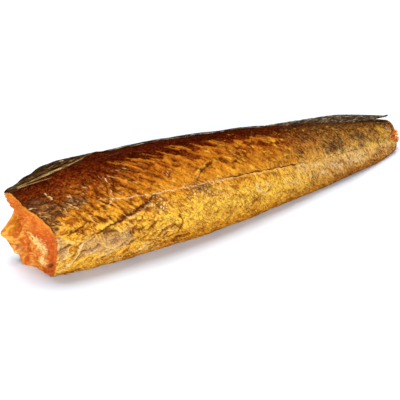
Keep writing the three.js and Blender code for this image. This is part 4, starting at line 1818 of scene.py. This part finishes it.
@dataclass(frozen=True)
class Flesh:
    """The flesh inside the skin, with the torn head cut and the tail cut."""

    head: HeadCut = HeadCut()
    tail: TailCut = TailCut()
    wall_rows: int = 10
    inset: float = 0.8
    inner_inset: float = 2.8
    taper: float = 0.06
    edge: Edge = Edge()

    def wall(self, angle: Array) -> tuple[Array, dict[str, Array]]:
        """Make the wall under the skin, dark where it comes out at the tail.

        Args:
            angle: The angle of each column.

        Returns:
            Points by row and column, and their values.
        """
        share = np.linspace(0, 1, self.wall_rows + 2)[1:-1]
        s = self.edge.between(share, angle)
        inset = mix(self.inset, self.inner_inset, inside(share, 0, self.taper))
        points = FORM.skin_point(s, np.broadcast_to(angle, s.shape), -inset[:, None])
        blank = np.zeros_like(s)
        values = {name: blank for name in ("pale", "arcs", "yellow", "streak")}
        deep = blank + smooth(0.9, 0.97, share)[:, None]
        return points, {**values, "deep": deep, "dark": 0.9 * deep, "place": points}

    def build(self) -> None:
        """Make the flesh."""
        angle = Columns().angles()
        parts = [
            self.head.build(angle, self.inset, self.edge), self.wall(angle),
            self.tail.build(angle, self.inset, self.edge),
        ]
        values = {name: np.concatenate([carried[name] for _, carried in parts]) for name in parts[0][1]}
        surface = Surface()
        surface.add_tube(np.concatenate([points for points, _ in parts]), values)
        surface.piece("flesh", SmokedFlesh().material())


@dataclass(frozen=True)
class Flake:
    """A loose flake of flesh, by its middle in the section, its size, its droop and how yellow it is."""

    u: float
    v: float
    length: float
    thickness: float
    height: float
    droop: float
    yellow: float


@dataclass(frozen=True)
class TailFlakes:
    """Flakes that stick out of the tail cut, each a tapered sliver with a ragged end."""

    flakes: tuple[Flake, ...] = (
        Flake(3, 4, 13, 3.2, 3.4, 26, 0.9), Flake(4, 0.5, 11, 3.2, 3.2, 22, 0.8),
        Flake(3, -5.5, 8, 3.2, 7, 8, 0.5),
    )
    rows: int = 26
    columns: int = 20
    stands_out: float = 4
    bluntness: float = 5
    squareness: float = 0.7
    rough_size: float = 1.6
    roughness: float = 0.28

    def sliver(self, flake: Flake) -> Array:
        """Shape a flake round its own middle.

        Args:
            flake: The flake.

        Returns:
            Points by ring and column.
        """
        t = np.linspace(-1, 1, self.rows)[:, None]
        turn = np.linspace(0, TURN, self.columns, endpoint=False)[None]
        taper = np.sqrt(np.clip(1 - np.abs(t) ** self.bluntness, 0.02, 1))
        y, z = (
            size / 2 * taper * np.sign(wave) * np.abs(wave) ** self.squareness
            for size, wave in ((flake.thickness, np.cos(turn)), (flake.height, np.sin(turn)))
        )
        return np.stack(np.broadcast_arrays(flake.length / 2 * t, y, z), -1)

    def build(self) -> None:
        """Make the flakes."""
        surface = Surface()
        # Along a flake its flesh is coarser and swells less
        coarser, swells = (0.4, 1, 1), (0.2, 1, 1)
        for number, flake in enumerate(self.flakes):
            local = self.sliver(flake)
            rough = lumps(local * coarser, self.rough_size, 90 + 7 * number)
            local = local * (1 + self.roughness * rough[..., None] * swells)
            x, y, z = np.moveaxis(local, -1, 0)
            cosine, sine = math.cos(flake.droop * DEG), math.sin(flake.droop * DEG)
            drooping = np.stack([x * cosine + z * sine, y, z * cosine - x * sine], -1)
            blank = np.zeros_like(rough)
            values = {
                "pale": blank,
                "arcs": smooth(0, 0.4, rough),
                "yellow": blank + flake.yellow,
                "dark": blank,
                "deep": smooth(0.1, -0.4, rough) * (1 - 0.6 * flake.yellow),
                "streak": 0.5 + rough,
                "place": local * coarser + 40 * number,
            }
            middle = (FORM.tail_cut.middle + self.stands_out, flake.u, flake.v)
            surface.add_tube(drooping + FORM.place(*map(np.array, middle)), values)
        surface.piece("tail_flakes", bpy.data.materials["smoked_flesh"])


def tube(middle: Array, radius: Array, up: Array, sideways: Array, sides: int, flatten: float = 1) -> Array:
    """Lay a tube round a line.

    Args:
        middle: Points of the line.
        radius: Radius at each of them.
        up: Direction of its height at each of them.
        sideways: Direction of its width at each of them.
        sides: Points in each ring.
        flatten: Its height as a share of its width.

    Returns:
        Points by ring and column.
    """
    turn = np.linspace(0, TURN, sides, endpoint=False)[None, :, None]
    around = flatten * np.cos(turn) * up[:, None] + np.sin(turn) * sideways[:, None]
    return middle[:, None] + radius[:, None, None] * around


def rounded(t: Array, sharpness: float, least: float, end: float = 1.0) -> Array:
    """Width of a ray whose ends are round, from nearly 0 to about 1."""
    return np.sqrt(np.minimum(1, sharpness * np.minimum(t, end - t)) + least)


@dataclass(frozen=True)
class Strand:
    """How a fin ray is made: its points and sides, and how far apart rays read their finish's pattern."""

    points: int
    sides: int
    step: float
    apart: float
    flatten: float = 0.75

    def along_skin(self, s: Array, angle: Array, raised: Array, radius: Array) -> Array:
        """Lay a ray along the skin.

        Args:
            s: Distances from the nape along it.
            angle: Angles along it.
            raised: How far its middle is above the skin.
            radius: Its radius along it.

        Returns:
            Points by ring and column.
        """
        middle = FORM.skin_point(s, angle, raised)
        outwards = unit(FORM.skin_point(s, angle, raised + 1) - middle)
        along = unit(np.gradient(middle, axis=0))
        return tube(middle, radius, outwards, np.cross(along, outwards), self.sides, self.flatten)

    def add(self, surface: Surface, rings: Array, s: Array, number: int) -> None:
        """Add a ray to its surface.

        Args:
            surface: The surface.
            rings: Points of the ray by ring and column.
            s: Distance from the nape of each ring.
            number: Which ray it is.
        """
        around = np.arange(self.sides)[None] * self.step + self.apart * number
        place = np.stack(np.broadcast_arrays(s[:, None], around, 0.0), -1)
        surface.add_tube(rings, {"place": place})


@dataclass(frozen=True)
class FirstBackFin:
    """The first back fin, folded flat: thin bundles of rays with the dark membrane behind them."""

    line: Curve = Curve(((0, 6), (15, 20), (35, 28), (60, 25), (95, 4), (115, -2)))
    lower_line: Curve = Curve(((0, 6), (15, 23), (38, 39)))
    strands: int = 6
    lower_strands: int = 2
    half_bundle: float = 0.95
    strand: Strand = Strand(90, 8, 0.3, 10)
    radius: tuple[float, float] = (0.38, 0.55)
    thinning: float = 0.45
    raised: float = 1.1
    least_raised: float = 0.35
    arching: float = 0.5
    membrane: tuple[float, float] = (4, 108)
    membrane_rows: int = 160
    membrane_columns: int = 34
    opening: tuple[float, float] = (1, 7)
    closing: tuple[float, float] = (108, 82)
    membrane_edge: float = -15
    pleats: float = 2.6
    pleat_height: float = 0.35
    thickness: float = 0.5
    dried_spots: tuple[Spot, ...] = (Spot(55, 13, 2.4, 3.5), Spot(13, 6, 3.5, 4, 0.5))
    seed: int = 21

    def rays(self) -> None:
        """Make the rays: a straight bundle, and a short one that parts from it below."""
        rng = np.random.default_rng(self.seed)
        surface = Surface()
        t = np.linspace(0, 1, self.strand.points)
        for line, strands, starts, ends in (
            (self.line, self.strands, (9, 24), (66, 104)),
            (self.lower_line, self.lower_strands, (9, 11), (34, 38)),
        ):
            half_bundle = self.half_bundle * strands / self.strands
            for number in range(strands):
                across = mix(-1, 1, number / (strands - 1))
                s = np.linspace(rng.uniform(*starts), rng.uniform(*ends), self.strand.points)
                spread = half_bundle * across * np.sin(math.pi * (0.12 + 0.8 * t))
                angle = line(s) + spread / (DEG * FORM.half_depth(s))
                raised = self.raised + self.arching * (1 - across ** 2) - FORM.relief(s, angle)
                raised = np.maximum(raised, self.least_raised)
                thin = (1 - self.thinning * t) * np.sqrt(np.minimum(1, 12 * np.minimum(t, 1 - t) + 0.05))
                radius = rng.uniform(*self.radius) * thin
                self.strand.add(surface, self.strand.along_skin(s, angle, raised, radius), s, number)
        horn = DriedFin("horn_ray", "503210", "a47c3e", "dcc084", 1.4)
        surface.piece("first_fin_rays", horn.material())

    def folds(self) -> None:
        """Make the membrane, a thin closed sheet in pleats with a ragged far edge."""
        s = np.linspace(*self.membrane, self.membrane_rows)[:, None]
        t = np.linspace(0, 1, self.membrane_columns)[None]
        taper = np.sqrt(np.clip(smooth(*self.opening, s) * smooth(*self.closing, s), 0.02, 1))
        far = self.membrane_edge + 3 * np.sin(s / 7) + 2.2 * np.sin(s / 2.7 + 1)
        near = self.line(s) + 1
        angle = mix(near, mix(near, far, taper), t)
        arc = FORM.arc(s, angle - self.line(s))
        pleat = self.pleat_height * np.sin(TURN * (arc + 0.6 * np.sin(s / 11)) / self.pleats)
        edge = np.sqrt(np.clip(1 - (2 * t - 1) ** 6, 0, 1))
        rough = lumps(np.stack([0.25 * s + 0 * t, arc, 0 * arc], -1), 1.3, 33)
        proud = 0.8 * bell((s - 10) / 7) + 0.35 * smooth(20, 50, s) * taper
        top = (0.35 + 0.3 * pleat + 0.45 * rough + proud) * edge
        upper = FORM.skin_point(s, angle, top)
        lower = FORM.skin_point(s, angle, top - (self.thickness + proud) * (0.3 + edge))
        place = np.stack([s + 0 * t, arc, 0 * arc], -1)
        # Two small places where the membrane has dried pale and flaked
        dried = sum(spot.on(s, angle) for spot in self.dried_spots)
        pale = np.clip(dried * (0.8 + 3 * rough), 0, 1)
        both = {"place": place, "pale": pale}
        values = {name: np.concatenate([value, value[:, ::-1]], 1) for name, value in both.items()}
        surface = Surface()
        surface.add_tube(np.concatenate([upper, lower[:, ::-1]], 1), values)
        dark_skin = DriedFin("fin_membrane", "1a0c04", "42240e", "886436", 3.0)
        surface.piece("first_fin_membrane", dark_skin.material())

    def build(self) -> None:
        """Make the fin."""
        self.rays()
        self.folds()


@dataclass(frozen=True)
class SecondBackFin:
    """The long second back fin, folded back along the ridge: a thin blade and the rays on it."""

    start: float = 205
    end: float = 450
    top: Curve = Curve(((205, 0), (270, 2), (315, 5), (375, 9), (425, 6.5), (450, 4.5)))
    foot: Curve = Curve(((205, -3), (395, -3), (425, 1.5), (450, 3.5)))
    drift: Curve = Curve(((205, 0), (395, 0), (450, -3)))
    wave: float = 0.5
    wave_pitch: float = 70
    least_height: float = 0.5
    free: float = 400
    thickness: float = 1.3
    tip_thickness: float = 0.7
    top_share: float = 0.55
    rows: int = 300
    columns: int = 22
    streak_height: float = 0.35
    ray: Strand = Strand(40, 6, 0.2, 7)
    ray_gap: float = 4.2
    ray_length: tuple[float, float] = (34, 52)
    last_ray: float = 40
    ray_radius: float = 0.55
    ridge_ray: Strand = Strand(36, 6, 0.2, -7)
    ridge: tuple[float, float] = (98, 250)
    ridge_count: int = 44
    ridge_length: tuple[float, float] = (26, 44)
    ridge_angles: tuple[float, float] = (-8, 9)
    ridge_turn: float = 4
    ridge_radius: float = 0.5
    seed: int = 5

    def sway(self, s: Array) -> Array:
        """How far the fin leans out of the median plane at its top."""
        return self.drift(s) + self.wave * np.sin(TURN * s / self.wave_pitch)

    def half_thickness(self, s: Array) -> Array:
        """Half the blade's thickness at its foot."""
        return mix(self.thickness, self.tip_thickness, smooth(self.free, self.end, s)) / 2

    def at(self, s: Array, share: Array, u: Array) -> Array:
        """A place of the fin.

        Args:
            s: Distance from the nape.
            share: From 0 at the fin's foot to 1 at its top.
            u: Distance from the blade's middle.

        Returns:
            Points in the frame of the part, in millimetres.
        """
        depth = FORM.half_depth(s)
        low = depth + self.foot(s)
        high = depth + np.maximum(self.top(s), self.foot(s) + self.least_height)
        return FORM.place(s, u + self.sway(s) * share, mix(low, high, share))

    def blade(self) -> None:
        """Make the folded membrane, streaked along the fish."""
        s = np.linspace(self.start, self.end, self.rows)[:, None]
        t = np.linspace(0, 1, self.columns)[None]
        profile = np.sqrt(np.clip(1 - (2 * t - 1) ** 8, 0.02, 1)) * mix(1, self.top_share, t)
        ragged = lumps(np.stack([0.2 * s, 0 * s, 0 * s], -1), 1.0, 12)
        share = t * (1 - 0.05 * np.abs(ragged) * t)
        rise = mix(self.foot(s), self.top(s), share)
        grain = np.stack([0.07 * s + 0 * share, rise, 0 * rise], -1)
        streak = self.streak_height * lumps(grain, 0.7, 44)
        out = (self.half_thickness(s) + streak) * profile
        near, far = self.at(s, share, out), self.at(s, share, -out)
        place = np.stack([s + 0 * share, rise, 0 * share], -1)
        surface = Surface()
        # The far side reads the finish's pattern 30 mm away
        values = {"place": np.concatenate([place, place[:, ::-1] + (0, 30, 0)], 1)}
        surface.add_tube(np.concatenate([near, far[:, ::-1]], 1), values)
        folded = DriedFin("folded_fin", "2c1e12", "644e38", "ac9472", 4.0)
        surface.piece("second_fin_membrane", folded.material())

    def rays(self) -> None:
        """Make the rays, which leave the ridge one after another and lie back along the blade."""
        rng = np.random.default_rng(self.seed)
        surface = Surface()
        for number in range(int((self.end - self.last_ray - self.start) / self.ray_gap)):
            base = self.start + self.ray_gap * number
            length = rng.uniform(*self.ray_length)
            s = np.linspace(base, min(base + length, self.end + 1), self.ray.points)
            t = (s - base) / length
            share = mix(0.25, rng.uniform(0.75, 0.98), smooth(0, 1, t))
            side = 1 if number % 2 else -1
            out = side * self.half_thickness(s) * rng.uniform(0.7, 1.1) * mix(1, self.top_share, share)
            middle = self.at(s, share, out)
            radius = self.ray_radius * (1 - 0.6 * t) * rounded(t, 10, 0.02, 1.02)
            along = unit(np.gradient(middle, axis=0))
            sideways = unit(np.cross(along, (0, 0, 1.0)))
            rings = tube(middle, radius, np.cross(sideways, along), sideways, self.ray.sides)
            self.ray.add(surface, rings, s, number)
        self.ridge_rays(surface, rng)
        horn = DriedFin("fin_ray", "3c2c1c", "7e6448", "c4aa80", 2.2)
        surface.piece("second_fin_rays", horn.material())

    def ridge_rays(self, surface: Surface, rng: np.random.Generator) -> None:
        """Add the front rays, which lie flat along the ridge.

        Args:
            surface: The surface that they are added to.
            rng: Source of chance.
        """
        t = np.linspace(0, 1, self.ridge_ray.points)
        for number in range(self.ridge_count):
            base = mix(*self.ridge, number / (self.ridge_count - 1))
            s = np.linspace(base, base + rng.uniform(*self.ridge_length), self.ridge_ray.points)
            angle = rng.uniform(*self.ridge_angles) + rng.uniform(-self.ridge_turn, self.ridge_turn) * t
            raised = 0.25 + 0.55 * np.sin(math.pi * t) + rng.uniform(0, 0.35)
            radius = self.ridge_radius * (1 - 0.5 * t) * rounded(t, 8, 0.02)
            rings = self.ridge_ray.along_skin(s, angle, raised, radius)
            self.ridge_ray.add(surface, rings, s, number)

    def build(self) -> None:
        """Make the fin."""
        self.blade()
        self.rays()


@dataclass(frozen=True)
class TailFinStubs:
    """Dark stubs of the tail fin's rays along the ridge in front of the tail cut."""

    start: float = 392
    end: float = 445
    starts: tuple[float, float] = (0, 14)
    ends: tuple[float, float] = (-7, -1)
    count: int = 13
    spread: float = 17
    raised: float = 0.2
    arching: float = 1.1
    arched_angles: float = 20
    radius: tuple[float, float] = (0.65, 0.95)
    strand: Strand = Strand(40, 8, 0.3, 9)
    seed: int = 9

    def build(self) -> None:
        """Make the stubs."""
        rng = np.random.default_rng(self.seed)
        surface = Surface()
        t = np.linspace(0, 1, self.strand.points)
        for number in range(self.count):
            first, last = self.start + rng.uniform(*self.starts), self.end + rng.uniform(*self.ends)
            s = np.linspace(first, last, self.strand.points)
            angle = mix(-1, 1, number / (self.count - 1)) * self.spread * (0.4 + 0.6 * t)
            arch = np.sin(math.pi * np.minimum(1, 1.15 * t)) * bell(angle / self.arched_angles)
            radius = rng.uniform(*self.radius) * rounded(t, 6, 0.03)
            rings = self.strand.along_skin(s, angle, self.raised + self.arching * arch, radius)
            self.strand.add(surface, rings, s, number)
        tarred = DriedFin("dark_stub", "170c08", "33200f", "7a5a30", 3.0)
        surface.piece("tail_fin_stubs", tarred.material())


@dataclass(frozen=True)
class Studio:
    """A white card floor, soft light from above and two soft boxes in front, and the camera."""

    target: tuple[float, float, float] = (-36.1, 1.6, 16.1)
    distance: float = 1200
    azimuth: float = -35.5
    elevation: float = 27
    lens: float = 115
    sensor: float = 36
    farthest: float = 50
    floor_side: float = 12
    floor_drop: float = 0.0001
    sky_colour: str = "c8deff"
    sky: float = 0.2
    top: float = 3.7
    top_place: tuple[float, float, float] = (0.2, 0.6, 2.0)
    top_width: float = 45
    soft_boxes: tuple[tuple[str, tuple[float, float, float], float], ...] = (
        ("left_box", (-1.35, -1.15, 0.6), 22), ("right_box", (0.5, -1.75, 0.5), 9),
    )
    box_size: float = 0.3

    def floor(self) -> None:
        """Lay the card just under the fish."""
        half = self.floor_side / 2
        corners = [(half * x, half * y, -self.floor_drop) for x, y in ((-1, -1), (1, -1), (1, 1), (-1, 1))]
        mesh = bpy.data.meshes.new("floor_card")
        mesh.from_pydata(corners, [], [(0, 1, 2, 3)])
        mesh.materials.append(WhiteCard().material())
        floor = bpy.data.objects.new("floor_card", mesh)
        bpy.context.collection.objects.link(floor)
        floor.visible_glossy = False
        floor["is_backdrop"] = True

    def lamp(
        self, name: str, kind: str, place: tuple[float, float, float], energy: float, **settings: object,
    ) -> bpy.types.Object:
        """Hang a lamp that shines on the fish.

        Args:
            name: The lamp's name.
            kind: Blender's type of light.
            place: Where it hangs, in metres.
            energy: Its strength.
            settings: More properties of the light.

        Returns:
            The lamp.
        """
        light = bpy.data.lights.new(name, kind)
        light.energy = energy
        for key, value in settings.items():
            setattr(light, key, value)
        lamp = bpy.data.objects.new(name, light)
        lamp.location = place
        lamp.rotation_euler = (-Vector(place)).to_track_quat("-Z", "Y").to_euler()
        bpy.context.collection.objects.link(lamp)
        return lamp

    def lights(self) -> None:
        """Light the studio."""
        world = bpy.data.worlds.new("white_room")
        world.use_nodes = True
        background = world.node_tree.nodes["Background"]
        background.inputs["Color"].default_value = linear(self.sky_colour)
        background.inputs["Strength"].default_value = self.sky
        # Only the soft boxes may glint on the skin
        world.cycles_visibility.glossy = False
        bpy.context.scene.world = world
        top = self.lamp("top_light", "SUN", self.top_place, self.top, angle=self.top_width * DEG)
        top.visible_glossy = False
        for name, place, energy in self.soft_boxes:
            self.lamp(name, "AREA", place, energy, shape="DISK", size=self.box_size)

    def camera(self) -> None:
        """Place the camera where the photograph was taken from."""
        data = bpy.data.cameras.new("photo_camera")
        data.lens, data.sensor_width, data.clip_end = self.lens, self.sensor, self.farthest
        camera = bpy.data.objects.new("photo_camera", data)
        turn, rise = self.azimuth * DEG, self.elevation * DEG
        back = Vector((math.sin(turn) * math.cos(rise), -math.cos(turn) * math.cos(rise), math.sin(rise)))
        camera.location = (Vector(self.target) + back * self.distance) * MM
        camera.rotation_euler = (-back).to_track_quat("-Z", "Y").to_euler()
        bpy.context.collection.objects.link(camera)
        bpy.context.scene.camera = camera

    def build(self) -> None:
        """Set up the studio."""
        bpy.context.scene.view_settings.view_transform = "Standard"
        self.floor()
        self.lights()
        self.camera()


def write_sizes() -> None:
    """Work out the boxes of the solid and of the dressed fish, in metres."""
    boxes = {"cad": cad_box, "visual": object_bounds()}
    rows = {name: [[round(value, 6) for value in corner] for corner in box] for name, box in boxes.items()}


def main() -> None:
    """Build the fish and its studio in order."""
    logging.basicConfig(level=logging.INFO, format="%(message)s")
    Studio().build()
    Skin().build()
    Flesh().build()
    TailFlakes().build()
    FirstBackFin().build()
    SecondBackFin().build()
    TailFinStubs().build()
    write_sizes()


if __name__ == "__main__":
    main()
